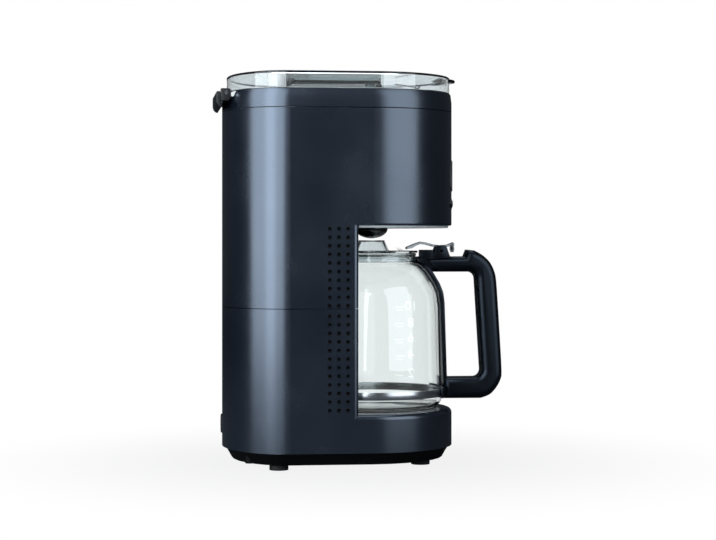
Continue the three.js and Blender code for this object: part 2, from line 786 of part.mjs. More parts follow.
// Well in the head that carries the filter basket
const wellRadius = 62;
const wellWall = 2;
const wellFloor = headLevel + wall + fitGap;
const wellDrop = 4.6;
const wellTop = ringTop - wellDrop;
const wellLugWidth = 10;
const wellLugHeight = 3;
const spoutRadius = 19;
const wellLugs = [-1, 1].map((side) => {
  const inner = wellRadius - wellWall * half;
  const outer = frontHalfWidth(jugY - wellLugWidth, wall * 2) - 2 * fitGap;
  return block(side > 0 ? inner : -outer, side > 0 ? outer : -inner,
    jugY - wellLugWidth, jugY + wellLugWidth, wellTop - wellLugHeight, wellTop);
});
add('basket_well', join(turned([
  [spoutRadius + 2 * fitGap, wellFloor],
  [wellRadius, wellFloor],
  [wellRadius, wellTop],
  [wellRadius - wellWall, wellTop],
  [wellRadius - wellWall, wellFloor + wellWall],
  [spoutRadius + 2 * fitGap, wellFloor + wellWall],
  [spoutRadius + 2 * fitGap, wellFloor],
]), ...wellLugs), partBlack);

// Plate under the head
const underplate = 1.8;
const underplateInset = 3;
const underplateZ = headLevel - fitGap;
const underplateOutline = bodyOutline(underplateInset);
add('head_underplate', cut(
  prism(underplateOutline, underplateZ - underplate, underplateZ),
  prism(columnOutline(-2 * fitGap), underplateZ - underplate - overrun, underplateZ + overrun),
  post(0, jugY, valveOpening, underplateZ - underplate - overrun, underplateZ + overrun, roundSteps),
), paleGrey);

// Filter basket with a hanging rim and a spout crossed by a bridge, lifted out through the top
const basket = new THREE.Group();
model.add(basket);
const basketRim = wellTop + fitGap;
const basketRimHeight = 2;
const basketGap = 1;
const basketTaper = 12;
const basketLift = 3;
const basketRadius = wellRadius - wellWall - basketGap;
const basketFootRadius = basketRadius - basketTaper;
const basketFloor = wellFloor + wellWall + basketLift;
const basketWall = 1.8;
const spoutWall = 2;
const spoutDrop = 2.2;
const spoutLip = 1.2;
const spoutLipWidth = 1.6;
const spoutLow = headLevel - spoutDrop;
const spoutBore = spoutRadius - spoutWall;
const bridgeHalf = 1.5;
const bridgeThickness = 1.4;
const bridgeLow = basketFloor + basketWall - bridgeThickness;
const spoutBridge = block(-spoutRadius, spoutRadius, jugY - bridgeHalf, jugY + bridgeHalf,
  bridgeLow, bridgeLow + bridgeThickness);
add('filter_basket', join(turned([
  [spoutBore - spoutLipWidth, spoutLow],
  [spoutRadius, spoutLow],
  [spoutRadius, basketFloor],
  [basketFootRadius, basketFloor],
  [basketRadius, basketFloor + basketFootRadius * half],
  [basketRadius, basketRim],
  [wellRadius, basketRim],
  [wellRadius, basketRim + basketRimHeight],
  [basketRadius - basketWall, basketRim + basketRimHeight],
  [basketRadius - basketWall, basketFloor + basketFootRadius * half],
  [basketFootRadius - basketWall, basketFloor + basketWall],
  [spoutBore, basketFloor + basketWall],
  [spoutBore, spoutLow + spoutLip],
  [spoutBore - spoutLipWidth, spoutLow + spoutLip],
  [spoutBore - spoutLipWidth, spoutLow],
]), spoutBridge), partBlack, basket);

// Permanent filter: a frame with a rim and a fine cup in it
const filterGap = 1;
const filterRimZ = basketRim + basketRimHeight + fitGap;
const filterRimHeight = 2.2;
const filterOuter = basketRadius - basketWall - filterGap;
const filterFoot = basketFootRadius - basketWall - filterGap;
const filterFloor = basketFloor + basketWall + filterGap;
const filterWall = 1.2;
add('permanent_filter', turned([
  [0, filterFloor],
  [filterFoot, filterFloor],
  [filterOuter, filterFloor + basketFootRadius * half],
  [filterOuter, filterRimZ],
  [basketRadius, filterRimZ],
  [basketRadius, filterRimZ + filterRimHeight],
  [filterOuter - filterWall, filterRimZ + filterRimHeight],
  [filterOuter - filterWall, filterFloor + basketFootRadius * half],
  [filterFoot - filterWall, filterFloor + filterWall],
  [0, filterFloor + filterWall],
]), steel, basket);

// Jug levels, needed here because the drip valve stops just above the jug's lid
const jugBottom = deckLevel + fitGap + jugBottomGap;
const jugHeadroom = 26;
const jugHeight = bayHeight - jugHeadroom;
const neckInset = 25.1;
const neckRadius = jugRadius - neckInset;
const glassWall = 2.2;
const jugTop = jugBottom + jugHeight;
const jugLidRise = 5.2;
const jugLidCone = 6.3;
const jugLidTop = jugTop + fitGap + jugLidRise;
const jugLidPeak = jugLidTop + jugLidCone;
const valveClearance = 1.8;

// Drip valve: a dome with a drip hole that the jug's lid stands under, its seal and its spring
const domeRadius = spoutBore - spoutLipWidth - fitGap;
const flangeRadius = spoutBore - fitGap;
const flangeLow = spoutLow + spoutLip + fitGap;
const flangeThickness = 1.5;
const domeLow = jugLidPeak + valveClearance;
const domeBase = spoutLow - fitGap;
const domeSteps = 6;
const dripHole = 2.2;
const domePoints = [];
for (let i = 0; i <= domeSteps; i++) {
  const angle = (Math.PI / 2) * (1 - i / domeSteps);
  domePoints.push([
    Math.max(domeRadius * Math.cos(angle), dripHole),
    domeBase - (domeBase - domeLow) * Math.sin(angle),
  ]);
}
const stemTop = flangeLow + flangeThickness;
domePoints.push([domeRadius, flangeLow], [flangeRadius, flangeLow], [flangeRadius, stemTop]);
domePoints.push([dripHole, stemTop], [dripHole, domeLow]);
add('drip_valve', turned(domePoints), glossBlack, basket);
const valveSealHeight = 1.5;
const springRadius = 7;
const springWire = 1.1;
const sealZ = stemTop + fitGap;
add('valve_seal', ring(dripHole, domeRadius - spoutWall, sealZ, sealZ + valveSealHeight), silicone, basket);
add('valve_spring', ring(springRadius, springRadius + springWire, sealZ + valveSealHeight + fitGap,
  bridgeLow - fitGap), steel, basket);

// Display window, its panel and board, and the light below the power button
const windowThickness = wall + displayProud;
add('display_window', cut(
  prism(bodyOutline(-displayProud), displayZ - displayHeight, displayZ + displayHeight),
  prism(bodyOutline(wall), displayZ - displayHeight - overrun, displayZ + displayHeight + overrun),
).intersect(roundedRectangle(
  displayWidth,
  displayHeight,
  displayRadius,
  -halfLength - windowThickness,
  frontFaceY(displayWidth * half) + wallReach,
  displayZ,
)), glossBlack);
const panelWidth = 40;
const panelHeight = 18;
const panelThickness = 2.4;
const panelFront = frontFaceY(panelWidth * half, wall) + fitGap;
add('lcd_panel', block(-panelWidth * half, panelWidth * half, panelFront, panelFront + panelThickness,
  displayZ - panelHeight * half, displayZ + panelHeight * half), paleGrey);
const frontBoardY = panelFront + panelThickness + fitGap;
const frontBoardTop = displayZ + panelHeight * half;
const frontBoardLow = indicatorZ - indicatorRadius;
const frontBoardHalf = keyFar + keyRadius;
const buttonTravel = 1.2;
const buttonSpare = 0.4;
const boardClips = [-1, 1].map((side) => block(
  Math.min(side * panelWidth * half, side * (panelWidth * half - boardThickness)),
  Math.max(side * panelWidth * half, side * (panelWidth * half - boardThickness)),
  frontBoardY,
  -Math.sqrt((wellRadius + fitGap) ** 2 - (panelWidth * half - boardThickness) ** 2) + jugY,
  displayZ,
  displayZ + boardThickness * 2,
));
add('display_board', join(
  block(-frontBoardHalf, frontBoardHalf, frontBoardY, frontBoardY + boardThickness,
    frontBoardLow, frontBoardTop),
  ...boardClips,
), boardGreen);
buttons.forEach(({ name, x, radius }) => {
  const group = new THREE.Group();
  model.add(group);
  const outer = frontFaceY(x) - buttonProud;
  const inner = frontBoardY - buttonTravel - buttonSpare;
  const cap = pinAlong(x, buttonZ, radius, outer, inner, x === 0 ? roundSteps : smallSteps);
  add(name, cap, x === 0 ? steel : partBlack, group);
});
const lightInset = 0.6;
const lightFront = frontFaceY(0) + lightInset;
const lightBody = pinAlong(0, indicatorZ, indicatorRadius, lightFront, frontBoardY - fitGap);
add('indicator_light', lightBody, clearPlastic);

// Clear lid: a deep cap with a thumb lip in front and a hinge barrel behind
const lid = new THREE.Group();
model.add(lid);
const lidInset = 2.2;
const lidRearInset = 4.4;
const lidWall = 2;
const lidEdge = 1.2;
const lipReach = 3.9;
const lipHalf = 45;
const lipThickness = 2.4;
const lipDrop = 1.4;
const lidRoof = lidTop - lidWall;
const thumbOutline = [];
for (let i = 0; i < 2 * endSteps; i++) {
  const angle = (Math.PI * i) / endSteps;
  const reach = frontEndDepth + lipReach;
  thumbOutline.push(new THREE.Vector2(lipHalf * Math.cos(angle), frontCentre + reach * Math.sin(angle)));
}
const lidOuter = loft([
  { outline: bodyOutline(lidInset, lidRearInset), z: lidLevel },
  { outline: bodyOutline(lidInset, lidRearInset), z: lidTop - lidEdge },
  { outline: bodyOutline(lidInset + lidEdge, lidRearInset + lidEdge), z: lidTop },
]);
const lidInner = prism(bodyOutline(lidInset + lidWall, lidRearInset + lidWall), lidLevel - overrun, lidRoof);
const thumbLip = prism(thumbOutline, lidTop - lipDrop - lipThickness, lidTop - lipDrop).intersect(
  block(-halfWidth, halfWidth, -bodyLength, frontFoot.y, lidLevel, lidTop),
);
const barrel = pinAcross(hingeY, hingeZ, barrelRadius, -barrelHalf, barrelHalf);
const webThickness = 3;
const web = block(-barrelHalf, barrelHalf, halfLength - lidRearInset - lidWall, hingeY,
  hingeZ + barrelRadius - webThickness, hingeZ + barrelRadius);
const lidClear = join(
  pinAcross(hingeY, hingeZ, earRadius + 3 * fitGap, barrelHalf + fitGap * half, earOuter + fitGap),
  pinAcross(hingeY, hingeZ, earRadius + 3 * fitGap, -earOuter - fitGap, -barrelHalf - fitGap * half),
);
add('lid_shell', cut(
  join(cut(lidOuter, lidInner), cut(thumbLip, lidInner), web, barrel),
  lidClear,
  pinAcross(hingeY, hingeZ, barrelBore, -barrelHalf - overrun, barrelHalf + overrun),
), clearPlastic, lid);

// Water spreader under the lid: a shallow tray over the filter with a nozzle, and an arm over the riser
const spreaderHalf = 38;
const spreaderRear = 44;
const spreaderLead = 10;
const spreaderFront = jugY - spreaderLead;
const spreaderDepth = 5;
const spreaderWall = 1.6;
const spreaderTop = lidRoof - fitGap;
const nozzleRadius = 4.5;
const nozzleDrop = 3;
const armHalf = riserRadius + spreaderWall;
const armReach = riserX + armHalf;
const spreaderLow = spreaderTop - spreaderDepth;
add('water_spreader', join(
  cut(
    join(
      block(-spreaderHalf, spreaderHalf, spreaderFront, spreaderRear, spreaderLow, spreaderTop),
      block(0, armReach, riserY - armHalf, riserY + armHalf, spreaderLow, spreaderTop),
    ),
    block(-spreaderHalf + spreaderWall, spreaderHalf - spreaderWall, spreaderFront + spreaderWall,
      spreaderRear - spreaderWall, spreaderLow + spreaderWall, spreaderTop + overrun),
    block(0, armReach - spreaderWall, riserY - riserRadius, riserY + riserRadius,
      spreaderLow + spreaderWall, spreaderTop + overrun),
    post(riserX, riserY, riserRadius - spreaderWall, spreaderLow - overrun, spreaderTop),
  ),
  post(0, spreaderFront + nozzleRadius, nozzleRadius, spreaderLow - nozzleDrop,
    spreaderLow + spreaderWall * half),
), paleGrey, lid);

// Glass jug: outline of the glass as radius and height, set outwards by an offset
const jug = new THREE.Group();
model.add(jug);
const heelRadius = 9;
const heelInset = 1;
const bodyTopRadius = 63;
const shoulderStart = 92;
const neckHeight = 9;
const arcSteps = 5;

// Rise of the shoulder's offset surfaces for each unit of offset, so that the wall keeps its thickness
const shoulderLift = 0.4;

// Shoulder of the glass as shares of its drop in radius and of its height, from the body up to the neck
const shoulderShares = [
  [0, 0], [0.063, 0.272], [0.127, 0.378], [0.222, 0.501], [0.339, 0.605], [0.466, 0.716],
  [0.602, 0.812], [0.756, 0.896], [0.919, 0.963], [1, 1],
];
function glassOutline(offset) {
  const points = [];
  const lower = jugRadius + offset;
  const heel = heelRadius + offset;
  const floor = jugBottom - offset;
  for (let i = 0; i <= arcSteps; i++) {
    const angle = -Math.PI / 2 + (Math.PI / 2) * (i / arcSteps);
    points.push([
      lower - heelInset - heel + heel * Math.cos(angle),
      floor + heel + heel * Math.sin(angle),
    ]);
  }
  const shoulderTop = jugTop - neckHeight;
  const shoulderLow = jugBottom + shoulderStart;
  for (const [across, up] of shoulderShares) {
    points.push([
      bodyTopRadius + offset - (bodyTopRadius - neckRadius) * across,
      shoulderLow + (shoulderTop - shoulderLow + offset * shoulderLift) * up,
    ]);
  }
  return points;
}
const outside = glassOutline(0);
const inside = glassOutline(-glassWall).reverse();
add('jug_glass', turned([
  [0, jugBottom],
  ...outside,
  [neckRadius, jugTop],
  [neckRadius - glassWall, jugTop],
  ...inside,
  [0, jugBottom + glassWall],
]), glassClear, jug);

// Steel band round the neck
const bandWall = 1.2;
const bandHeight = 5;
const bandZ = jugTop - neckHeight + fitGap * 2;
const bandInner = neckRadius + fitGap;
add('neck_band', ring(bandInner, bandInner + bandWall, bandZ, bandZ + bandHeight), clearPlastic, jug);

// Thin steel band round the foot of the glass, held to it by the strap's clamp
const footBandRise = 10.1;
const footBandHeight = 7.1;
const footBandWall = 0.8;
const footBandZ = jugBottom + footBandRise;
const footBandInner = jugRadius - heelInset + fitGap;
const footBandOuter = footBandInner + footBandWall;
add('foot_band', ring(footBandInner, footBandOuter, footBandZ, footBandZ + footBandHeight), steel, jug);

// Strap that follows the glass at the front, from the neck to the heel
const strapWall = 4.5;
const strapHalf = 9;
const strapRise = 7.4;
const strapLow = jugBottom + strapRise;
const strapHigh = jugTop - neckHeight - fitGap;
function alongGlass(offset) {
  return glassOutline(offset).filter(([, z]) => z > strapLow && z < strapHigh);
}
function atFront(points) {
  return points.map(([r, z]) => [jugY - r, z]);
}
const strapFoot = footBandInner;
const clampHalf = 30;
const clampRise = 1.5;
const clampWall = 2.4;
const clampInner = footBandOuter + fitGap;
const strapInner = [[strapFoot, strapLow], ...alongGlass(fitGap)];
const strapOuter = [[strapFoot + strapWall, strapLow], ...alongGlass(fitGap + strapWall)];
const strapPoints = atFront([...strapInner, ...strapOuter.reverse()]);
const strapScrewRadius = 2;
const strapScrewLength = 14;
const handleWidth = 22;
const lowerArmShare = 0.118;
const strapScrewZ = jugBottom + jugHeight * lowerArmShare;
const clamp = ring(clampInner, clampInner + clampWall, footBandZ - clampRise,
  footBandZ + footBandHeight + clampRise).intersect(
  block(-clampHalf, clampHalf, -bodyLength, jugY, 0, jugTop),
);
const strap = cut(
  join(sideProfile(strapPoints, -strapHalf, strapHalf), clamp),
  ring(0, clampInner, footBandZ - fitGap, footBandZ + footBandHeight + fitGap),
  pinAlong(0, strapScrewZ, strapScrewRadius + fitGap, -bodyLength, 0),
);
add('handle_strap', strap, partBlack, jug);

// Handle: side outline as shares of the handle's reach from the jug's axis and of the jug's height
const handleShares = [
  [0.335, 0.979], [0.374, 0.979], [0.374, 1.021], [0.467, 1.021], [0.467, 0.979], [0.708, 0.978],
  [0.729, 1.022], [0.788, 1.017], [0.844, 0.991], [0.889, 0.959], [0.918, 0.927], [0.943, 0.88],
  [0.958, 0.818], [0.974, 0.62], [0.988, 0.423], [1, 0.225], [0.991, 0.168], [0.956, 0.113],
  [0.905, 0.069], [0.836, 0.047], [0.494, 0.048], [0.494, 0.189], [0.79, 0.189], [0.821, 0.199],
  [0.839, 0.226], [0.819, 0.49], [0.796, 0.826], [0.782, 0.86], [0.753, 0.877], [0.335, 0.877],
];
const handleBevel = 5;
const handlePoints = handleShares.map(([reach, height]) => [
  jugY - handleReach * reach,
  jugBottom + jugHeight * height,
]);
const lidPinRadius = 1.6;
const lidPinReach = 64.5;
const lidPinLift = 2.1;
const lidPinY = jugY - lidPinReach;
const lidPinZ = jugTop + lidPinLift;
const leverHalf = 5.6;
const earThickness = 3;
const earBaseHalf = 8.5;
const earTopHalf = 4;
const earRise = 4.9;
const earSink = 7;
const lidEarPoints = [
  [lidPinY - earBaseHalf, lidPinZ - earSink],
  [lidPinY + earBaseHalf, lidPinZ - earSink],
  [lidPinY + earTopHalf, lidPinZ + earRise],
  [lidPinY - earTopHalf, lidPinZ + earRise],
];
const lidEarInner = leverHalf + fitGap * 2;
const glassAndStrap = sideProfile(atFront([
  [0, jugBottom - overrun],
  ...glassOutline(strapWall + 2 * fitGap),
  [neckRadius + 2 * fitGap + bandWall, strapHigh + fitGap * 2],
  [neckRadius + 2 * fitGap + bandWall, jugLidPeak],
  [0, jugLidPeak],
]), -handleWidth, handleWidth);
add('jug_handle', cut(
  join(
    cut(sideProfile(handlePoints, -handleWidth * half, handleWidth * half, handleBevel), glassAndStrap),
    sideProfile(lidEarPoints, lidEarInner, lidEarInner + earThickness),
    sideProfile(lidEarPoints, -lidEarInner - earThickness, -lidEarInner),
  ),
  pinAcross(lidPinY, lidPinZ, lidPinRadius + fitGap, -handleWidth, handleWidth),
  pinAlong(0, strapScrewZ, strapScrewRadius + fitGap,
    jugY - jugRadius - strapScrewLength - 3 * fitGap, jugY - jugRadius),
), partBlack, jug);
add('handle_screw', pinAlong(0, strapScrewZ, strapScrewRadius,
  jugY - jugRadius - strapScrewLength - 2 * fitGap, jugY - jugRadius - 2 * fitGap), steel, jug);
add('jug_lid_pin', pinAcross(lidPinY, lidPinZ, lidPinRadius, -lidEarInner - earThickness,
  lidEarInner + earThickness), steel, jug);

// Jug lid: a clear disc with a raised drip funnel, a skirt in the neck and a thumb lever on the pin
const jugLid = new THREE.Group();
model.add(jugLid);
const jugLidOverhang = 1.8;
const jugLidRadius = neckRadius + jugLidOverhang;
const jugLidWall = 1.6;
const skirtGap = 1;
const skirtRadius = neckRadius - glassWall - skirtGap;
const skirtDepth = 6.5;
const coneBase = 16.4;
const coneTop = 12;
const funnelHole = 4;
const discLow = jugLidTop - jugLidRise;

// Lever outline as shares of its length, measured from the pin: first along its top, then back below
const leverLength = 43.8;
const leverShares = [
  [0.73, 0.078], [0.57, 0.146], [0.434, 0.192], [0.32, 0.176], [0.183, 0.137], [0.023, 0.116],
  [-0.137, 0.128], [-0.269, 0.178], [-0.269, -0.034], [-0.233, -0.034], [-0.233, 0.105],
  [-0.137, 0.082], [0.023, 0.071], [0.183, 0.091], [0.32, 0.13], [0.434, 0.144], [0.548, 0.1],
  [0.616, 0.055], [0.73, 0.032],
];
const leverPoints = leverShares.map(([along, rise]) => [
  lidPinY + leverLength * along,
  lidPinZ + leverLength * rise,
]);
const knuckleRadius = 3.5;
const tabWidth = 18;
const tabShare = 0.269;
const tabReach = leverLength * tabShare;
add('jug_lid', cut(
  join(
    turned([
      [funnelHole, jugLidPeak],
      [funnelHole, jugLidPeak - jugLidWall],
      [coneTop - jugLidWall, jugLidPeak - jugLidWall],
      [coneBase - jugLidWall, jugLidTop - jugLidWall],
      [skirtRadius - jugLidWall, jugLidTop - jugLidWall],
      [skirtRadius - jugLidWall, discLow - skirtDepth],
      [skirtRadius, discLow - skirtDepth],
      [skirtRadius, discLow],
      [jugLidRadius, discLow],
      [jugLidRadius, jugLidTop],
      [coneBase, jugLidTop],
      [coneTop, jugLidPeak],
      [funnelHole, jugLidPeak],
    ]),
    sideProfile(leverPoints, -leverHalf, leverHalf),
    pinAcross(lidPinY, lidPinZ, knuckleRadius, -leverHalf, leverHalf),
    block(-tabWidth * half, tabWidth * half, lidPinY - tabReach, lidPinY - tabReach + jugLidWall,
      lidPinZ, lidPinZ + knuckleRadius * 2),
  ),
  pinAcross(lidPinY, lidPinZ, lidPinRadius + fitGap, -tabWidth, tabWidth),
), clearPlastic, jugLid);

// The origin is on the table, midway between the hinge bracket and the handle
const rearmost = bracketRear;
const foremost = jugY - handleReach;
model.position.y = -(rearmost + foremost) * half;

export default model;
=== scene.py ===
# %% [markdown]
# # A programmable coffee maker with a glass jug
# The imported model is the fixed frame: it says where every piece goes and which pieces move together.
# Each cell below makes one piece of the machine, or one finish, in the same frame and in metres. The
# front, with the display and the jug's handle, faces -Y, and +Z is up.

# %% Load the frame
import math

import bmesh
import bpy
from mathutils import Matrix, Vector


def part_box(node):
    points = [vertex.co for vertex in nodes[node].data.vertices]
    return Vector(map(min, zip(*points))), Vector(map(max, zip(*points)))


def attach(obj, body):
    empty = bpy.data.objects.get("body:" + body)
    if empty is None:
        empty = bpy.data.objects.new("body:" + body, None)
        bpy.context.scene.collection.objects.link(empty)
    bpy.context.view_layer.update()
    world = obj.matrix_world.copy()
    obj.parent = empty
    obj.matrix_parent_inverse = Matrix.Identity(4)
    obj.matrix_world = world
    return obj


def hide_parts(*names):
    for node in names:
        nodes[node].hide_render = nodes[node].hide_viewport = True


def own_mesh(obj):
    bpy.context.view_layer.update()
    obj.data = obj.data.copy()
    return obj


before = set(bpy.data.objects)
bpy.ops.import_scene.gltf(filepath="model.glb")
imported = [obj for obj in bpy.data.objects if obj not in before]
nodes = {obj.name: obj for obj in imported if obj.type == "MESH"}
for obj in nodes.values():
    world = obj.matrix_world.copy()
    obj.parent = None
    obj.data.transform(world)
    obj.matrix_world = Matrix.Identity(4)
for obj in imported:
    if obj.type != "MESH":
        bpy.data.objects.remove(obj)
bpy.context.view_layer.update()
print("nodes", len(nodes))

# %% [markdown]
# ## Sizes
# The machine is an oblong: two flat sides between a half ellipse at the rear and a deeper one at the
# front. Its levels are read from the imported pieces, so that a new piece always meets the one that
# carries it. The jug's axis is the centre of the warming plate.

# %% Levels and outlines
MM = 0.001


def low(node, axis=2):
    """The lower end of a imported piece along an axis: 0 is across, 1 front to back and 2 upwards."""
    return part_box(node)[0][axis]


def high(node, axis=2):
    """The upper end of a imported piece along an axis."""
    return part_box(node)[1][axis]


def middle(node, axis=2):
    """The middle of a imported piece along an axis."""
    return (low(node, axis) + high(node, axis)) / 2


HALF_WIDTH = high("upper_shell", 0)
BODY_FRONT = low("upper_shell", 1)
BODY_REAR = high("upper_shell", 1)
FRONT_DEPTH = 82 * MM
REAR_DEPTH = 56 * MM
FRONT_CENTRE = BODY_FRONT + FRONT_DEPTH
REAR_CENTRE = BODY_REAR - REAR_DEPTH
SHELL_LOW = low("lower_shell")
SEAM_LOW = high("lower_shell")
SEAM_HIGH = low("upper_shell")
HEAD_TOP = high("upper_shell")
RING_LOW = HEAD_TOP + 0.6 * MM
RING_TOP = high("rim_ring")
LID_LOW = RING_TOP + 0.3 * MM
LID_TOP = high("lid_shell")
DECK = high("hot_plate") - 0.3 * MM
HEAD_LOW = high("head_underplate") + 0.3 * MM
JUG_Y = middle("hot_plate", 1)
# The front of the column, the radius of its hollow, and the steps that draw each rounded end.
LIP_Y = BODY_FRONT + 95.4 * MM
RECESS = 71.5 * MM
END_STEPS = 48
# Points closer than this are taken to lie on the same line or level.
NEAR = 1e-5
# A point this near to a cutting plane counts as lying on it.
ON_PLANE = 1e-6


def arc(centre_y, across, depth, start, turn, steps=END_STEPS):
    """Points on part of an ellipse seen from above, in the half widths across and depth."""
    points = []
    for i in range(steps + 1):
        angle = math.radians(start + turn * i / steps)
        points.append((across * math.cos(angle), centre_y + depth * math.sin(angle)))
    return points


def body_outline(inset=0.0, rear_inset=None):
    """The whole oblong, counter-clockwise from above, starting at the machine's +X side."""
    rear_inset = inset if rear_inset is None else rear_inset
    across = HALF_WIDTH - inset
    rear = arc(REAR_CENTRE, across, REAR_DEPTH - rear_inset, 0, 180)
    front = arc(FRONT_CENTRE, across, FRONT_DEPTH - inset, 180, 180)
    return rear + front


def front_y(x, inset=0.0):
    """Depth of the rounded front at a sideways place."""
    share = x / (HALF_WIDTH - inset)
    return FRONT_CENTRE - (FRONT_DEPTH - inset) * math.sqrt(1 - share * share)


levels = {"shell": SHELL_LOW, "deck": DECK, "seam": SEAM_LOW, "head": HEAD_LOW, "ring": RING_LOW,
          "lid": LID_LOW, "roof": LID_TOP}
print("levels in mm", {name: round(level / MM, 1) for name, level in levels.items()})
print("jug axis at y", round(JUG_Y / MM, 1), "mm")

# %% [markdown]
# ## The camera
# A product photographer stands well back, so that the machine's edges stay nearly parallel, and looks at
# its side from a little in front of square. The lens is long, and the picture's centre is lifted with
# shift instead of by tilting, which keeps the machine's uprights upright. The image is taken to be 716
# by 540 pixels.

# %% Camera
CAMERA_DISTANCE = 1.770
CAMERA_TURN = math.radians(6.6)
EYE_HEIGHT = 203.6 * MM
AIM_Y = 1.9 * MM
SENSOR_WIDTH = 36
IMAGE_WIDTH = 716
FOCAL_PIXELS = 1912.7
CENTRE_PIXELS = (1.3, -29.2)
camera_data = bpy.data.cameras.new("camera")
camera = bpy.data.objects.new("camera", camera_data)
bpy.context.scene.collection.objects.link(camera)
look = Vector((math.cos(CAMERA_TURN), -math.sin(CAMERA_TURN), 0))
camera.location = Vector((0, AIM_Y, EYE_HEIGHT)) - look * CAMERA_DISTANCE
camera.rotation_euler = look.to_track_quat("-Z", "Y").to_euler()
camera_data.sensor_width = SENSOR_WIDTH
camera_data.lens = FOCAL_PIXELS * SENSOR_WIDTH / IMAGE_WIDTH
camera_data.shift_x = CENTRE_PIXELS[0] / IMAGE_WIDTH
camera_data.shift_y = CENTRE_PIXELS[1] / IMAGE_WIDTH
camera_data.dof.use_dof = False
bpy.context.scene.camera = camera
bpy.context.scene.view_settings.view_transform = "Standard"
print("lens", round(camera_data.lens, 1), "mm, camera at", tuple(round(v, 3) for v in camera.location))

# %% [markdown]
# ## Light
# Black satin plastic has almost no colour of its own: what shows its shape is the reflection of the
# lamps. A wide soft box stands to the rear, with a narrow one in front of it that makes the core of its
# reflection brighter, and a third stands to the front. They draw the broad upright bands of light on the
# rounded ends, and one overhead catches the deck and the top edges. Their light is a little blue, as
# daylight is. The background is white only to the camera and through glass, and to the rest of the scene
# it is a faint grey, so it adds hardly any light.

# %% Lamps and world
DAYLIGHT = (0.88, 0.95, 1.0)


def linear(hex_colour, alpha=1.0):
    """An sRGB hex colour as the linear values that a shader takes."""
    values = [int(hex_colour[i:i + 2], 16) / 255 for i in (1, 3, 5)]
    curve = [v / 12.92 if v <= 0.04045 else ((v + 0.055) / 1.055) ** 2.4 for v in values]
    return (*curve, alpha)


def node(tree, kind, links=None, **settings):
    """Adds a shader node: links are its inputs, as sockets or plain values, and settings its attributes."""
    made = tree.nodes.new(kind)
    for name, value in settings.items():
        setattr(made, name, value)
    for name, value in (links or {}).items():
        if isinstance(value, bpy.types.NodeSocket):
            tree.links.new(value, made.inputs[name])
        else:
            made.inputs[name].default_value = value
    return made


def soft_box(name, place, target, width, height, power):
    """A rectangular area lamp at a place, turned towards a target."""
    data = bpy.data.lights.new(name, "AREA")
    data.shape = "RECTANGLE"
    data.size = width
    data.size_y = height
    data.energy = power
    data.color = DAYLIGHT
    lamp = bpy.data.objects.new(name, data)
    lamp.location = place
    lamp.rotation_euler = (Vector(target) - Vector(place)).to_track_quat("-Z", "Y").to_euler()
    bpy.context.scene.collection.objects.link(lamp)


def seen_by_camera(tree):
    """1 on a ray from the camera, also once it has passed through glass, and 0 on any other ray."""
    rays = node(tree, "ShaderNodeLightPath")
    ends = {0: rays.outputs["Is Camera Ray"], 1: rays.outputs["Is Transmission Ray"]}
    return node(tree, "ShaderNodeMath", ends, operation="MAXIMUM").outputs[0]


soft_box("box_rear_wide", (-0.72, 0.93, 0.55), target=(0, 0.06, 0.2), width=2.0, height=1.4, power=28)
soft_box("box_rear_core", (-0.69, 0.76, 0.5), target=(0, 0.06, 0.2), width=0.42, height=1.3, power=3)
soft_box("box_front", (-0.97, -0.92, 0.55), target=(0, -0.05, 0.2), width=1.15, height=1.4, power=11)
soft_box("box_top", (0.1, 0, 1.6), target=(0, 0, 0.2), width=1.1, height=1.1, power=9)

world = bpy.data.worlds.new("studio")
bpy.context.scene.world = world
world.use_nodes = True
tree = world.node_tree
tree.nodes.clear()
plain = node(tree, "ShaderNodeBackground", {"Color": linear("#dce6f2"), "Strength": 0.06})
white = node(tree, "ShaderNodeBackground", {"Color": linear("#ffffff"), "Strength": 1.0})
both = node(tree, "ShaderNodeMixShader", {0: seen_by_camera(tree), 1: plain.outputs[0], 2: white.outputs[0]})
node(tree, "ShaderNodeOutputWorld", {"Surface": both.outputs[0]})

# %% [markdown]
# ## The floor
# A sheet of white paper under a product is lit until it is almost white. Here most of the sheet's white
# is a glow that only the camera sees. The rest, close to the machine, is a matt grey face that takes its
# shadow and throws little light up at the black casing. Further out the glow takes over and the sheet
# turns into the background.

# %% Floor
def adjust(made, **settings):
    """Sets plain values on the sockets of a material's Principled shader, and gives the shader."""
    shader = made.node_tree.nodes["Principled BSDF"]
    for socket, value in settings.items():
        shader.inputs[socket.replace("_", " ")].default_value = value
    return shader


def material(name, **settings):
    """A new material with one Principled shader."""
    made = bpy.data.materials.new(name)
    made.use_nodes = True
    shader = adjust(made, **settings)
    return made, made.node_tree, shader


paper, tree, shader = material("white_paper", Base_Color=linear("#46494c"), Roughness=0.9,
                               Specular_IOR_Level=0.1)
place = node(tree, "ShaderNodeTexCoord")
reach = node(tree, "ShaderNodeVectorMath", {0: place.outputs["Object"]}, operation="LENGTH")
fade = node(tree, "ShaderNodeMapRange",
            {"Value": reach.outputs["Value"], "From Min": 0.05, "From Max": 0.42,
             "To Min": 0.87, "To Max": 1.0}, interpolation_type="SMOOTHSTEP")
share = node(tree, "ShaderNodeMath", {0: fade.outputs[0], 1: seen_by_camera(tree)}, operation="MULTIPLY")
glow = node(tree, "ShaderNodeEmission", {"Color": linear("#ffffff"), "Strength": 1.0})
both = node(tree, "ShaderNodeMixShader", {0: share.outputs[0], 1: shader.outputs[0], 2: glow.outputs[0]})
tree.links.new(both.outputs[0], tree.nodes["Material Output"].inputs["Surface"])


def piece_from(bm, name):
    """Makes an object at the origin from a bmesh whose vertices are already in place."""
    mesh = bpy.data.meshes.new(name)
    bm.to_mesh(mesh)
    bm.free()
    made = bpy.data.objects.new(name, mesh)
    bpy.context.scene.collection.objects.link(made)
    return made


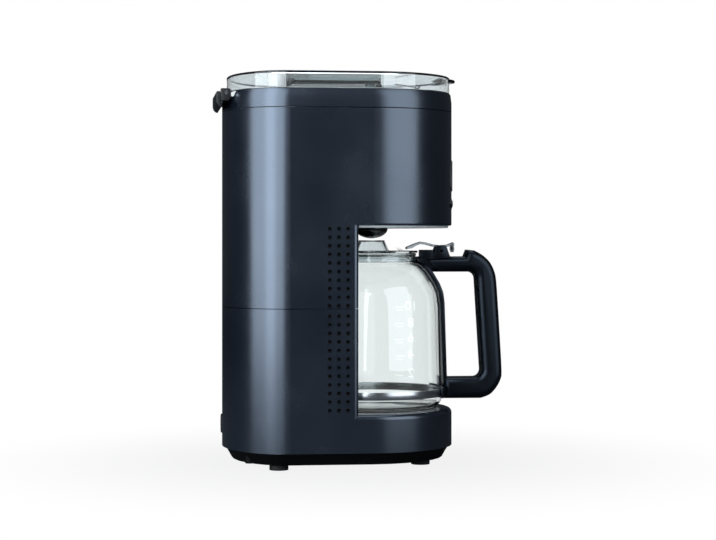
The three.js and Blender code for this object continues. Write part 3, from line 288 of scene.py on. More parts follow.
bm = bmesh.new()
bmesh.ops.create_grid(bm, x_segments=1, y_segments=1, size=4)
floor = piece_from(bm, "floor")
floor.data.materials.append(paper)
print("floor", tuple(round(v, 1) for v in floor.dimensions))

# %% [markdown]
# ## Black plastics
# The casing is injection-moulded ABS. The mould is spark-eroded, which leaves a fine, even grain, about
# a third of a millimetre between its bumps, and makes the gloss satin. The grain is only a bump pattern,
# because its height is some hundredths of a millimetre. The handle is a nylon with a flatter, coarser
# grain. The drip valve and the caps of the keys come from a polished mould and are glossy.

# %% Moulded plastics
DRIFT_MM = 60


def moulded(name, colour, roughness, grain_mm, depth_mm, strength=0.35, shift=0.04, gleam=(0.5, "#ffffff"),
            index=1.5):
    """A moulded plastic: plain colour, a slow drift of gloss, and the grain of its mould as a bump. The
    gleam is how strongly the face reflects, and in which tint."""
    made, tree, shader = material(name, Base_Color=linear(colour), Roughness=roughness, IOR=index,
                                  Specular_IOR_Level=gleam[0], Specular_Tint=linear(gleam[1]))
    place = node(tree, "ShaderNodeTexCoord")
    grain = node(tree, "ShaderNodeTexNoise", {"Vector": place.outputs["Object"], "Scale": 1000 / grain_mm,
                                              "Detail": 2.0, "Roughness": 0.6})
    bump = node(tree, "ShaderNodeBump", {"Height": grain.outputs[0], "Strength": strength,
                                         "Distance": depth_mm * MM})
    tree.links.new(bump.outputs[0], shader.inputs["Normal"])
    drift = node(tree, "ShaderNodeTexNoise", {"Vector": place.outputs["Object"], "Scale": 1000 / DRIFT_MM,
                                              "Detail": 3.0})
    gloss = node(tree, "ShaderNodeMapRange", {"Value": drift.outputs[0], "From Min": 0.3, "From Max": 0.7,
                                              "To Min": roughness - shift, "To Max": roughness + shift})
    tree.links.new(gloss.outputs[0], shader.inputs["Roughness"])
    return made


casing_black = moulded("casing_spark_textured_abs", "#060b15", 0.26, 0.35, 0.03,
                       shift=0.03, gleam=(1.0, "#d5e5fb"), index=1.7)
handle_black = moulded("handle_satin_nylon", "#030406", 0.3, 0.5, 0.02, 0.3, gleam=(0.42, "#cfe3ff"))
inner_black = moulded("inner_satin_polypropylene", "#0b0d11", 0.42, 0.5, 0.03)
# The base tray's matt black, which also paints shade into the dimples of the casing.
tray_black_and_dimple_shade = moulded("tray_matt_polypropylene_and_dimple_shade", "#040405", 0.6, 0.5, 0.03, gleam=(0.15, "#ffffff"))
gloss_black = moulded("valve_polished_abs", "#08090b", 0.07, 6.0, 0.01, 0.2, 0.02)
grey_moulding = moulded("spreader_grey_polypropylene", "#c4cdd1", 0.38, 0.6, 0.02)
plate_grey = moulded("underplate_pale_polypropylene", "#c9cfd3", 0.5, 0.6, 0.02)
print("plastics", [m.name for m in bpy.data.materials if "abs" in m.name or "propylene" in m.name])

# %% [markdown]
# ## Clear parts
# The jug is blown borosilicate glass, almost colourless, with a faint slow waviness from blowing. The
# lid, the jug's lid, the tank and the water spreader are SAN, a clear plastic that is stiffer and
# glossier than polystyrene, and bends light more than glass does, so that its edges look dark against a
# white background. The display window is an acrylic with a light smoke tint.

# %% Glass and clear plastic
def clear(name, colour, index, wave_mm, depth_mm, roughness=0.0):
    """A transparent material with its own index and a slow waviness."""
    made, tree, shader = material(name, Base_Color=linear(colour), Roughness=roughness, IOR=index,
                                  Transmission_Weight=1.0)
    place = node(tree, "ShaderNodeTexCoord")
    wave = node(tree, "ShaderNodeTexNoise", {"Vector": place.outputs["Object"], "Scale": 1000 / wave_mm,
                                             "Detail": 1.0})
    bump = node(tree, "ShaderNodeBump", {"Height": wave.outputs[0], "Strength": 0.25,
                                         "Distance": depth_mm * MM})
    tree.links.new(bump.outputs[0], shader.inputs["Normal"])
    return made


jug_clear = clear("jug_blown_borosilicate", "#f4f8f8", 1.47, 45, 0.5)
lid_clear = clear("lid_moulded_san", "#e9eff1", 1.57, 30, 0.1)
tank_clear = clear("tank_frosted_san", "#d9e0e4", 1.57, 12, 0.2, 0.25)
# A dark tint that paints the shade of the lid's clear edges: the bead round its roof, its ribs and its
# catch.
lid_painted_edge_shade = clear("lid_painted_edge_shade_san", "#39434f", 1.57, 30, 0.1)
lever_clear = clear("lever_thick_san", "#98a2aa", 1.57, 20, 0.1)
tray_clear = clear("spreader_clear_san", "#c3d0d3", 1.57, 20, 0.1, 0.08)
window_smoke = clear("window_smoke_acrylic", "#a9b0b5", 1.49, 40, 0.05)
print("clear", jug_clear.name, lid_clear.name, tank_clear.name)

# %% [markdown]
# ## Metals
# The band round the jug's foot, the pins and the power button are stainless steel with a drawn or turned
# finish: fine lines in one direction. They are set three or four tenths of a millimetre apart, which is
# coarser than on the real parts, so that they show. The heating element is an aluminium casting, duller
# and a little blotchy. The warming plate is steel with a fired black enamel, smooth with a faint
# orange-peel.

# %% Metals and enamel
def lined(name, colour, roughness, line_mm, along, strength=0.25):
    """A metal with drawn lines: noise squeezed across the lines and stretched along one axis."""
    made, tree, shader = material(name, Base_Color=linear(colour), Metallic=1.0, Roughness=roughness)
    place = node(tree, "ShaderNodeTexCoord")
    stretch = [1.0, 1.0, 1.0]
    stretch[along] = 0.03
    spread = node(tree, "ShaderNodeMapping", {"Vector": place.outputs["Object"], "Scale": stretch})
    lines = node(tree, "ShaderNodeTexNoise", {"Vector": spread.outputs[0], "Scale": 1000 / line_mm,
                                              "Detail": 2.0})
    bump = node(tree, "ShaderNodeBump", {"Height": lines.outputs[0], "Strength": strength,
                                         "Distance": 0.01 * MM})
    tree.links.new(bump.outputs[0], shader.inputs["Normal"])
    gloss = node(tree, "ShaderNodeMapRange", {"Value": lines.outputs[0], "To Min": roughness - 0.06,
                                              "To Max": roughness + 0.08})
    tree.links.new(gloss.outputs[0], shader.inputs["Roughness"])
    return made


band_steel = lined("band_drawn_stainless_steel", "#c9ccd0", 0.22, 0.4, 0)
pin_steel = lined("pin_turned_stainless_steel", "#cfd2d6", 0.18, 0.3, 0)
screw_steel = lined("screw_zinc_plated_steel", "#aab0b8", 0.3, 0.5, 2)
cast_aluminium = lined("element_cast_aluminium", "#a7aaad", 0.45, 3.0, 2, 0.5)

PEEL_MM = 2.5
enamel, tree, shader = material("plate_fired_black_enamel", Base_Color=linear("#0b0c0e"), Roughness=0.12,
                                IOR=1.55, Coat_Weight=0.3)
place = node(tree, "ShaderNodeTexCoord")
peel = node(tree, "ShaderNodeTexNoise", {"Vector": place.outputs["Object"], "Scale": 1000 / PEEL_MM,
                                         "Detail": 1.0})
bump = node(tree, "ShaderNodeBump", {"Height": peel.outputs[0], "Strength": 0.2, "Distance": 0.02 * MM})
tree.links.new(bump.outputs[0], shader.inputs["Normal"])

# The filter's cup is etched steel sheet. Its holes are set wider apart than on the real one, so that they
# show.
HOLE_STEP_MM = 1.2
mesh_steel, tree, shader = material("filter_etched_steel_mesh", Base_Color=linear("#b4b8bd"), Metallic=1.0,
                                    Roughness=0.3)
place = node(tree, "ShaderNodeTexCoord")
holes = node(tree, "ShaderNodeTexVoronoi", {"Vector": place.outputs["Object"], "Scale": 1000 / HOLE_STEP_MM,
                                            "Randomness": 0.0})
edge = node(tree, "ShaderNodeMapRange", {"Value": holes.outputs["Distance"], "From Min": 0.2,
                                         "From Max": 0.4})
tint = node(tree, "ShaderNodeMix", {0: edge.outputs[0]}, data_type="RGBA")
tint.inputs[6].default_value = linear("#23262a")
tint.inputs[7].default_value = linear("#b4b8bd")
tree.links.new(tint.outputs[2], shader.inputs["Base Color"])
print("metals", band_steel.name, pin_steel.name, cast_aluminium.name, mesh_steel.name)

# %% [markdown]
# ## Rubber, silicone, boards and print
# The feet, the ring round the warming plate and the cord inlet are black rubber with a dry, matt face.
# The hoses and the valve's seal are milky silicone. The circuit boards are woven glass in green epoxy;
# the weave is drawn a little coarser than it is. The jug's scale is a white ceramic ink fired into the
# glass.

# %% Soft parts, boards and ink
foot_rubber = moulded("foot_matt_rubber", "#141414", 0.8, 0.8, 0.05, 0.5)
silicone = moulded("hose_milky_silicone", "#d6d6cf", 0.45, 3.0, 0.05, 0.3)
adjust(silicone, Subsurface_Weight=0.3, Subsurface_Scale=2 * MM)

WEAVE_MM = 0.8
board_green, tree, shader = material("board_woven_glass_epoxy", Base_Color=linear("#1d5a38"), Roughness=0.4)
place = node(tree, "ShaderNodeTexCoord")
weave = node(tree, "ShaderNodeTexChecker", {"Vector": place.outputs["Object"], "Scale": 1000 / WEAVE_MM,
                                            "Color1": linear("#1d5a38"), "Color2": linear("#174a2e")})
tree.links.new(weave.outputs[0], shader.inputs["Base Color"])

# The panel is lit from behind by a small lamp on the board.
lcd_grey = moulded("panel_grey_lcd_glass", "#8f9a8c", 0.15, 5.0, 0.01, 0.1)
adjust(lcd_grey, Emission_Color=linear("#9db4ae"), Emission_Strength=0.35)

# The fired ink is thin: it scatters light, and lets some of the light behind the glass through. Its faint
# emission is a painted glow, which keeps the ink white where little light reaches it.
scale_ink_painted_glow = moulded("scale_fired_ceramic_ink_painted_glow", "#f4f6f6", 0.45, 0.5, 0.02)
adjust(scale_ink_painted_glow, Transmission_Weight=0.85, IOR=1.02, Emission_Color=linear("#ffffff"),
       Emission_Strength=0.3)
indicator_blue = moulded("indicator_tinted_acrylic", "#2b5fd0", 0.15, 5.0, 0.01)
print("materials", len(bpy.data.materials))

# %% [markdown]
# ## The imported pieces
# Pieces that are hidden inside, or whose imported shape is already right, keep their solids and get the
# finish of the real part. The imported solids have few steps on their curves, so the curved pieces that
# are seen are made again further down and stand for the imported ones.

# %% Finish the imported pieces
finishes = {
    tray_black_and_dimple_shade: ["base_plate"],
    inner_black: ["hinge_bracket", "basket_well", "filter_basket", "check_valve", "thermostat"],
    casing_black: ["upper_shell", "lower_shell", "rim_ring", "hour_button", "minute_button",
                   "program_button", "auto_button"],
    handle_black: ["jug_handle", "handle_strap"],
    gloss_black: ["drip_valve"],
    window_smoke: ["display_window"],
    enamel: ["hot_plate"],
    foot_rubber: ["cord_gland"] + [f"rubber_foot_{i}" for i in (1, 2, 3, 4)],
    silicone: ["hot_plate_seal", "inlet_hose", "outlet_hose", "riser_tube", "valve_seal"],
    cast_aluminium: ["heating_element", "element_bridge"],
    pin_steel: ["hinge_pin", "jug_lid_pin", "power_button", "thermal_fuse_1", "thermal_fuse_2",
                "valve_spring"],
    screw_steel: ["handle_screw"] + [f"base_screw_{i}" for i in (1, 2, 3, 4)],
    band_steel: ["foot_band"],
    mesh_steel: ["permanent_filter"],
    board_green: ["control_board", "display_board"],
    tank_clear: ["water_tank"],
    lid_clear: ["lid_shell", "jug_lid", "neck_band"],
    indicator_blue: ["indicator_light"],
    jug_clear: ["jug_glass"],
    lcd_grey: ["lcd_panel"],
    tray_clear: ["water_spreader"],
    plate_grey: ["head_underplate"],
}
for finish, names in finishes.items():
    for name in names:
        nodes[name].data.materials.clear()
        nodes[name].data.materials.append(finish)
print("finished", sum(len(names) for names in finishes.values()), "of", len(nodes))

# %% [markdown]
# ## Skins
# The shells are thin mouldings, so each is made as its outer skin first: a chain of points seen from
# above is raised into a wall, its sharp edges are rounded with a bevel, and a Solidify modifier gives it
# the thickness of the moulding. The chains have many points on the rounded ends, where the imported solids
# have few, so that the long upright reflections run smoothly.

# %% Walls from a chain of points
def joined(bm, points, closed=True):
    """Vertices at some points, joined in their order, and the edges that join them."""
    verts = [bm.verts.new(point) for point in points]
    ends = verts[1:] + verts[:1] if closed else verts[1:]
    edges = [bm.edges.new(pair) for pair in zip(verts, ends)]
    return verts, edges


def chain(bm, points, z, closed=True):
    """The edges through (x, y) points at one level."""
    return joined(bm, [(x, y, z) for x, y in points], closed)[1]


def circle(bm, centre, radius, segments):
    """The edges of a level circle."""
    made = bmesh.ops.create_circle(bm, cap_ends=False, segments=segments, radius=radius,
                                   matrix=Matrix.Translation(centre))
    return edges_at(made["verts"])


def edges_at(verts):
    """The edges that meet at some vertices, each once and in a steady order."""
    return list(dict.fromkeys(e for v in verts for e in v.link_edges))


def verts_of(made):
    """The vertices among what an operator has made."""
    return [g for g in made if isinstance(g, bmesh.types.BMVert)]


def edges_between(made, verts):
    """The new edges that have both ends among some vertices."""
    chosen = set(verts)
    return [g for g in made if isinstance(g, bmesh.types.BMEdge) and all(v in chosen for v in g.verts)]


def raise_edges(bm, edges, dz):
    """Extrudes a chain of edges straight upwards."""
    made = bmesh.ops.extrude_edge_only(bm, edges=edges)["geom"]
    bmesh.ops.translate(bm, verts=verts_of(made), vec=(0, 0, dz))


def next_ring(bm, edges, outline, z):
    """Extrudes a ring of edges onto the nearest points of an outline at a level, and gives the new ring."""
    made = bmesh.ops.extrude_edge_only(bm, edges=edges)["geom"]
    verts = verts_of(made)
    for v in verts:
        nearest = min(outline, key=lambda p: (p[0] - v.co.x) ** 2 + (p[1] - v.co.y) ** 2)
        v.co = (*nearest, z)
    return edges_between(made, verts)


def fill_flat(bm, edges, normal):
    """Fills the space between outlines in one plane with triangles."""
    bmesh.ops.triangle_fill(bm, use_beauty=True, use_dissolve=False, edges=edges, normal=normal)


def push_faces(bm, faces, vec):
    """Gives flat faces a thickness: a copy of them is moved, and walls join the two."""
    made = bmesh.ops.extrude_face_region(bm, geom=faces, use_keep_orig=True)["geom"]
    bmesh.ops.translate(bm, verts=verts_of(made), vec=vec)
    bmesh.ops.recalc_face_normals(bm, faces=bm.faces)


print("walls are ready to raise; each rounded end has", END_STEPS, "steps")


# %% Clean up, round and finish a skin
def tidy(bm, distance=0.00002):
    """Merges doubles and turns the faces outwards."""
    bmesh.ops.remove_doubles(bm, verts=bm.verts, dist=distance)
    bmesh.ops.recalc_face_normals(bm, faces=bm.faces)


def round_edges(bm, edges, width, segments=3):
    """Bevels some edges with a round of a width."""
    bmesh.ops.bevel(bm, geom=edges, affect="EDGES", offset=width, offset_type="OFFSET", segments=segments,
                    profile=0.5, material=-1, clamp_overlap=True)


def sharp_edges(bm, degrees=35, chosen=None):
    """The edges that turn by more than an angle, or those of them that a test picks."""
    limit = math.radians(degrees)
    found = [e for e in bm.edges if len(e.link_faces) == 2 and e.calc_face_angle(0) > limit]
    return [e for e in found if chosen is None or chosen(e)]


def smooth(made, degrees=40, crisp=None):
    """Smooth shading that keeps real corners, open edges and the edges that a test picks sharp."""
    made.data.shade_smooth()
    made.data.set_sharp_from_angle(angle=math.radians(degrees))
    bm = bmesh.new()
    bm.from_mesh(made.data)
    for e in bm.edges:
        if len(e.link_faces) == 1 or (crisp and crisp(e)):
            e.smooth = False
    bm.to_mesh(made.data)
    bm.free()
    return made


def dress(made, finish, body, *replaced):
    """Gives a finished piece its material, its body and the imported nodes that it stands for."""
    made.data.materials.append(finish)
    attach(made, body)
    if replaced:
        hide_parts(*replaced)
    return made


def thicken(made, thickness):
    """Gives a skin its wall, inwards."""
    wall = made.modifiers.new("wall", "SOLIDIFY")
    wall.thickness = thickness
    wall.offset = -1
    wall.use_even_offset = True
    wall.use_quality_normals = True


print("skins are ready to finish")

# %% [markdown]
# ## The dimpled sides
# Beside the front edge of the column the real casing has three rows of small round dimples on each side,
# moulded into the flat of the wall. A wall with round holes could be cut with a Boolean, but a flat face
# can also be filled round the circles directly: the outline and the circles are drawn in the wall's
# plane, the space between them is filled with triangles, and each circle is pushed inwards in two steps,
# which makes a shallow round cup. The cups take the piece's second material, a matt black that hardly
# mirrors the lamps, which paints shade into them.

# %% Flat sides with dimples
DIMPLE_RADIUS = 1.75 * MM
DIMPLE_DEPTH = 1.8 * MM
DIMPLE_STEP = 7.55 * MM
DIMPLE_SEGMENTS = 14
# Each step of a cup: the share of its radius that is kept, and its share of the depth.
CUP_STEPS = ((0.86, 0.6), (0.5, 0.4))
DIMPLE_COLUMNS = [LIP_Y + (9.6 + 8.1 * i) * MM for i in range(3)]
upper_rows = [SEAM_HIGH + 2.3 * MM + DIMPLE_STEP * i for i in range(10)]
lower_rows = [SEAM_LOW - 6.2 * MM - DIMPLE_STEP * i for i in range(12)]


def dimpled_side(bm, side, outline, rows):
    """One flat side at x = side, with its outline as (y, z) points and a dimple at each row and column."""
    edges = joined(bm, [(side, y, z) for y, z in outline])[1]
    inwards = -1 if side > 0 else 1
    rims = []
    for z in rows:
        for y in DIMPLE_COLUMNS:
            turn = Matrix.Translation((side, y, z)) @ Matrix.Rotation(math.radians(90), 4, "Y")
            ring = bmesh.ops.create_circle(bm, cap_ends=False, segments=DIMPLE_SEGMENTS,
                                           radius=DIMPLE_RADIUS, matrix=turn)
            loop = edges_at(ring["verts"])
            rims.append((Vector((side, y, z)), loop))
            edges += loop
    fill_flat(bm, edges, (-inwards, 0, 0))
    # The cup faces take material 1, the matt black that paints shade into the dimples.
    for centre, loop in rims:
        for share, depth in CUP_STEPS:
            made = bmesh.ops.extrude_edge_only(bm, edges=loop)["geom"]
            cup = verts_of(made)
            for face in (g for g in made if isinstance(g, bmesh.types.BMFace)):
                face.material_index = 1
            bmesh.ops.scale(bm, vec=(1, share, share), verts=cup, space=Matrix.Translation(-centre))
            bmesh.ops.translate(bm, verts=cup, vec=(inwards * DIMPLE_DEPTH * depth, 0, 0))
            loop = edges_between(made, cup)
        for face in bmesh.ops.holes_fill(bm, edges=loop, sides=0)["faces"]:
            face.material_index = 1


print("dimples on a side", len(DIMPLE_COLUMNS) * (len(upper_rows) + len(lower_rows)))

# %% [markdown]
# ## The column
# Behind the jug the column is hollowed to a cylinder that follows the glass. Its front edges are rounded
# with a radius of about 4 mm, which shows as a thin bright line down the side of the machine.

# %% Outline of the column's front
LIP_RADIUS = 4 * MM
LIP_TANGENT = LIP_Y + LIP_RADIUS
SHELL_WALL = 2.6 * MM
SHELL_ANGLE = 32


def column_front():
    """From the flat side at +X round the front corner, through the hollow and to the other flat side."""
    corner = arc(LIP_TANGENT, LIP_RADIUS, LIP_RADIUS, 0, -90, 10)
    right = [(HALF_WIDTH - LIP_RADIUS + x, y) for x, y in corner]
    rise = LIP_Y - JUG_Y
    start = math.degrees(math.atan2(rise, math.sqrt(RECESS ** 2 - rise ** 2)))
    hollow = arc(JUG_Y, RECESS, RECESS, start, 180 - 2 * start, 64)
    left = [(-x, y) for x, y in reversed(right)]
    return right + hollow + left


def arched_wall(bm, points, z0, z1):
    """An open wall through a chain of points between two levels."""
    raise_edges(bm, chain(bm, points, z0, closed=False), z1 - z0)


def side_joint(e):
    """True on the upright edges where a flat side meets a rounded end."""
    return all(abs(v.co.x) > HALF_WIDTH - NEAR
               and min(abs(v.co.y - y) for y in (REAR_CENTRE, FRONT_CENTRE, LIP_TANGENT)) < NEAR
               for v in e.verts)


rear_arc = arc(REAR_CENTRE, HALF_WIDTH, REAR_DEPTH, 0, 180)
front_arc = arc(FRONT_CENTRE, HALF_WIDTH, FRONT_DEPTH, 180, 180)
column_line = column_front()
print("column outline points", len(column_line))

# %% [markdown]
# ## Openings in the front wall
# The window and the keys sit in openings of the rounded front. The faces round an opening are sliced
# by pairs of parallel planes, and the faces that lie between all the pairs are deleted. Two pairs make
# a rectangle, and six make an outline with twelve sides, near enough to a circle behind a trim ring.

# %% Cut an opening
def with_parts(faces):
    """Faces with their edges and vertices, each once, as the cutting operator takes them."""
    edges = dict.fromkeys(e for f in faces for e in f.edges)
    verts = dict.fromkeys(v for f in faces for v in f.verts)
    return [*faces, *edges, *verts]


# Faces in front of this belong to the front wall.
WALL_START = FRONT_CENTRE - 20 * MM


def front_hole(bm, x, z, half_x, half_z, cuts=2):
    """Cuts an opening through the round front: a rectangle, or with more cuts nearly a circle."""
    centre = Vector((x, 0, z))

    def near(f):
        xs = [v.co.x for v in f.verts]
        zs = [v.co.z for v in f.verts]
        beside = min(xs) < x + half_x and max(xs) > x - half_x
        level = min(zs) < z + half_z and max(zs) > z - half_z
        return beside and level and max(v.co.y for v in f.verts) < WALL_START

    planes = []
    for i in range(cuts):
        a = math.pi / 2 + math.pi * i / cuts
        half = half_x if abs(math.cos(a)) > 0.5 else half_z
        planes += [(Vector((math.cos(a), 0, math.sin(a))) * sign, half) for sign in (1, -1)]
    for normal, half in planes:
        faces = [f for f in bm.faces if near(f)]
        bmesh.ops.bisect_plane(bm, geom=with_parts(faces), dist=ON_PLANE, plane_co=centre + normal * half,
                               plane_no=normal)
    hole = [f for f in bm.faces if near(f)
            and all((f.calc_center_median() - centre).dot(normal) < half for normal, half in planes)]
    bmesh.ops.delete(bm, geom=hole, context="FACES")
    return len(hole)


KEYS = ("program", "hour", "power", "minute", "auto")
WINDOW_Z = middle("display_window")


def key_circle(key):
    """The place across, the height and the radius of a key or the power button."""
    button = f"{key}_button"
    return middle(button, 0), middle(button), (high(button, 0) - low(button, 0)) / 2


print("keys at", [round(key_circle(key)[0] / MM, 1) for key in KEYS], "mm across")

# %% [markdown]
# ## Upper shell
# One moulding: the column above the seam and the head that overhangs the jug. The rear and front ends
# are raised from their arcs, the flat sides are the dimpled faces, and the head's underside is a flat
# face with the hole that the basket's spout passes through. The lower edge of the head is rounded. A
# ring of points just above that edge keeps the wall's shading straight.

# %% Upper shell
SPOUT_HOLE = 23 * MM
HEAD_EDGE = 1.4 * MM
WINDOW_HALF = (22.5 * MM, 11.5 * MM)
KEY_GAP = 0.45 * MM
bm = bmesh.new()
arched_wall(bm, rear_arc, SEAM_HIGH, HEAD_TOP)
arched_wall(bm, front_arc, HEAD_LOW, HEAD_TOP)
arched_wall(bm, column_line, SEAM_HIGH, HEAD_LOW)
side_outline = [(LIP_TANGENT, SEAM_HIGH), (REAR_CENTRE, SEAM_HIGH), (REAR_CENTRE, HEAD_TOP),
                (FRONT_CENTRE, HEAD_TOP), (FRONT_CENTRE, HEAD_LOW), (LIP_TANGENT, HEAD_LOW)]
for side in (HALF_WIDTH, -HALF_WIDTH):
    dimpled_side(bm, side, side_outline, upper_rows)
under_edges = chain(bm, front_arc + column_line, HEAD_LOW)
under_edges += circle(bm, (0, JUG_Y, HEAD_LOW), SPOUT_HOLE, 48)
fill_flat(bm, under_edges, (0, 0, -1))
tidy(bm)
head_wall = [f for f in bm.faces
             if max(v.co.y for v in f.verts) < FRONT_CENTRE + NEAR and abs(f.normal.z) < 0.5]
bmesh.ops.bisect_plane(bm, geom=with_parts(head_wall), dist=ON_PLANE, plane_co=(0, 0, HEAD_LOW + 1.8 * MM),
                       plane_no=(0, 0, 1))
print("window opening", front_hole(bm, 0, WINDOW_Z, *WINDOW_HALF), "faces")
for key in KEYS:
    x, z, radius = key_circle(key)
    front_hole(bm, x, z, radius + KEY_GAP, radius + KEY_GAP, cuts=6)
head_rim = sharp_edges(bm, 60, lambda e: all(abs(v.co.z - HEAD_LOW) < NEAR and v.co.y < FRONT_CENTRE + NEAR
                                             for v in e.verts))
round_edges(bm, head_rim, HEAD_EDGE)
upper_skin = smooth(piece_from(bm, "upper_shell_skin"), SHELL_ANGLE, side_joint)
thicken(upper_skin, SHELL_WALL)
# The second material, the matt black, paints shade into the dimples.
dress(upper_skin, casing_black, "machine", "upper_shell").data.materials.append(tray_black_and_dimple_shade)
print("upper shell faces", len(upper_skin.data.polygons))

# %% [markdown]
# ## Lower shell
# The foot of the column and the base in one moulding. The base's wall follows the whole oblong and rolls
# over into the deck with a radius of 4.5 mm, and the deck has a round hole for the warming plate. The
# rolled edge is the outline raised ring by ring while it shrinks.

# %% Lower shell
DECK_EDGE = 4.5 * MM
PLATE_HOLE = 60.2 * MM
bm = bmesh.new()
deck_ring = chain(bm, body_outline(), SHELL_LOW)
deck_steps = [(0, DECK - DECK_EDGE - 0.3 * MM)]
deck_steps += [(DECK_EDGE * (1 - math.cos(a)), DECK - DECK_EDGE * (1 - math.sin(a)))
               for a in (math.radians(15 * step) for step in range(7))]
for inset, level in deck_steps:
    deck_ring = next_ring(bm, deck_ring, body_outline(inset), level)
fill_flat(bm, deck_ring + circle(bm, (0, JUG_Y, DECK), PLATE_HOLE, 96), (0, 0, 1))
tidy(bm)
print("base faces", len(bm.faces))


# %% Column foot
def add_part(bm, part):
    """Adds one bmesh to another by way of a mesh, without merging their vertices."""
    carrier = bpy.data.meshes.new("carrier")
    part.to_mesh(carrier)
    part.free()
    bm.from_mesh(carrier)
    bpy.data.meshes.remove(carrier)


foot = bmesh.new()
foot_low = DECK - DECK_EDGE
arched_wall(foot, rear_arc, foot_low, SEAM_LOW)
arched_wall(foot, column_line, foot_low, SEAM_LOW)
foot_side = [(LIP_TANGENT, foot_low), (REAR_CENTRE, foot_low), (REAR_CENTRE, SEAM_LOW),
             (LIP_TANGENT, SEAM_LOW)]
for side in (HALF_WIDTH, -HALF_WIDTH):
    dimpled_side(foot, side, foot_side, lower_rows)
tidy(foot)
add_part(bm, foot)
lower_skin = smooth(piece_from(bm, "lower_shell_skin"), SHELL_ANGLE, side_joint)
thicken(lower_skin, SHELL_WALL)
# The second material, the matt black, paints shade into the dimples.
dress(lower_skin, casing_black, "machine", "lower_shell").data.materials.append(tray_black_and_dimple_shade)
print("lower shell faces", len(lower_skin.data.polygons))

# %% [markdown]
# ## Base tray
# Under the shell sits a tray that tapers in towards the table, with a shadow gap above it. It is the
# same oblong at a larger inset, so its wall is the outline raised in four steps, and its top and bottom
# are filled.

# %% Base tray
def lofted(bm, levels, outline=body_outline):
    """A wall through outlines at several levels, given as (inset, height) pairs in millimetres. It gives the
    first and the last ring of edges."""
    first = edges = chain(bm, outline(levels[0][0] * MM), levels[0][1] * MM)
    for inset, height in levels[1:]:
        edges = next_ring(bm, edges, outline(inset * MM), height * MM)
    return first, edges


TRAY_LEVELS = [(9.6, 5.2), (9, 5.8), (3.4, 14.6), (3, 15.7), (4.4, 15.9)]
bm = bmesh.new()
tray_ends = lofted(bm, TRAY_LEVELS)
for ring in tray_ends:
    bmesh.ops.holes_fill(bm, edges=ring, sides=0)
bmesh.ops.recalc_face_normals(bm, faces=bm.faces)
tray = smooth(piece_from(bm, "base_tray_wall"), 30)
dress(tray, tray_black_and_dimple_shade, "machine")
print("tray", [round(v / MM, 1) for v in tray.dimensions])

# %% [markdown]
# ## Turned pieces
# Most round pieces are made the way a lathe makes them: a half profile is drawn beside the axis and
# spun through a full turn, with the last ring merged into the first. Corners that a moulding or a
# pressing would round off get a small bevel after the spin.

# %% Spin a half profile
WELD = 0.002 * MM


def turned(name, points, centre, axis, closed, steps, rounding, segments=2, corner=50, angle=40):
    """Spins a line of points in metres round an axis; corners get a bevel of rounding millimetres."""
    bm = bmesh.new()
    verts, edges = joined(bm, points, closed)
    bmesh.ops.spin(bm, geom=verts + edges, cent=centre, axis=axis, angle=math.tau, steps=steps,
                   use_merge=True, use_duplicate=False)
    tidy(bm, WELD)
    if rounding:
        round_edges(bm, sharp_edges(bm, corner), rounding * MM, segments)
    return smooth(piece_from(bm, name), angle)


def spun(name, profile, finish, body, *replaced, x=0.0, y=JUG_Y, steps=96, closed=False, rounding=0.0,
         angle=40, corner=45):
    """A piece turned round an upright axis, from (radius, height) pairs in millimetres."""
    points = [(x + r * MM, y, z * MM) for r, z in profile]
    made = turned(name, points, (x, y, 0), (0, 0, 1), closed, steps, rounding, corner=corner, angle=angle)
    return dress(made, finish, body, *replaced)


def curved(points, steps=4):
    """A smooth line through points: each stretch is a Catmull-Rom span in a few steps."""
    line = []
    for i in range(len(points) - 1):
        a, b, c, d = (Vector(points[max(0, min(len(points) - 1, i + k))]) for k in (-1, 0, 1, 2))
        for j in range(steps):
            t = j / steps
            bend = (2 * a - 5 * b + 4 * c - d) * t * t + (3 * b - a - 3 * c + d) * t ** 3
            line.append(tuple(0.5 * (2 * b + (c - a) * t + bend)))
    return line + [tuple(points[-1])]


print("ready to turn pieces round the jug's axis, y", round(JUG_Y / MM, 1), "mm")

# %% Feet, warming plate and its seal
for i in (1, 2, 3, 4):
    node_name = f"rubber_foot_{i}"
    top = high(node_name) / MM
    foot_line = [(0, 0.1), (5.2, 0.1), (5.6, 0.5), (6.2, 0.5), (6.6, 0), (8.5, 0), (8.5, top), (0, top)]
    spun(f"foot_{i}", foot_line, foot_rubber, "machine", node_name, x=middle(node_name, 0),
         y=middle(node_name, 1), steps=40, rounding=0.35)
deck = DECK / MM
plate_line = [(56.6, deck - 4.7), (58, deck - 4.7), (58, deck + 0.3), (54.5, deck + 0.3),
              (53.6, deck - 0.1), (24.5, deck - 0.1), (23.6, deck + 0.1), (0, deck + 0.1),
              (0, deck - 1.2), (56.6, deck - 1.2)]
plate = spun("warming_plate", plate_line, enamel, "machine", "hot_plate", closed=True, rounding=0.3,
             corner=60)
seal_line = [(58.3, deck - 2.6), (59.9, deck - 2.6), (59.9, deck - 0.1), (59.5, deck + 0.25),
             (58.7, deck + 0.25), (58.3, deck - 0.1)]
seal = spun("plate_seal", seal_line, foot_rubber, "machine", "hot_plate_seal", closed=True)
print("turned", plate.name, seal.name)

# %% [markdown]
# ## The jug's glass
# A blown jug has a rounded heel, a slightly tapering wall, a shoulder that turns in to a straight neck,
# and a fire-polished rim. Outside and inside are two lines a wall's thickness apart, joined over the rim
# and across the floor, so that the spun piece is one closed wall that bends light as the real one does.

# %% Jug glass
JUG_LOW_MM = low("jug_glass") / MM
JUG_TOP_MM = high("jug_glass") / MM
JUG_RADIUS = 65
HEEL_RADIUS = 9
NECK_HEIGHT = 9
SHOULDER_HEIGHT = 92
GLASS_WALL = 2.2
# The shoulder's line: the share of its way inwards and the share of its way up.
SHOULDER = [(0, 0), (0.063, 0.272), (0.127, 0.378), (0.222, 0.501), (0.339, 0.605), (0.466, 0.716),
            (0.602, 0.812), (0.756, 0.896), (0.919, 0.963), (1, 1)]


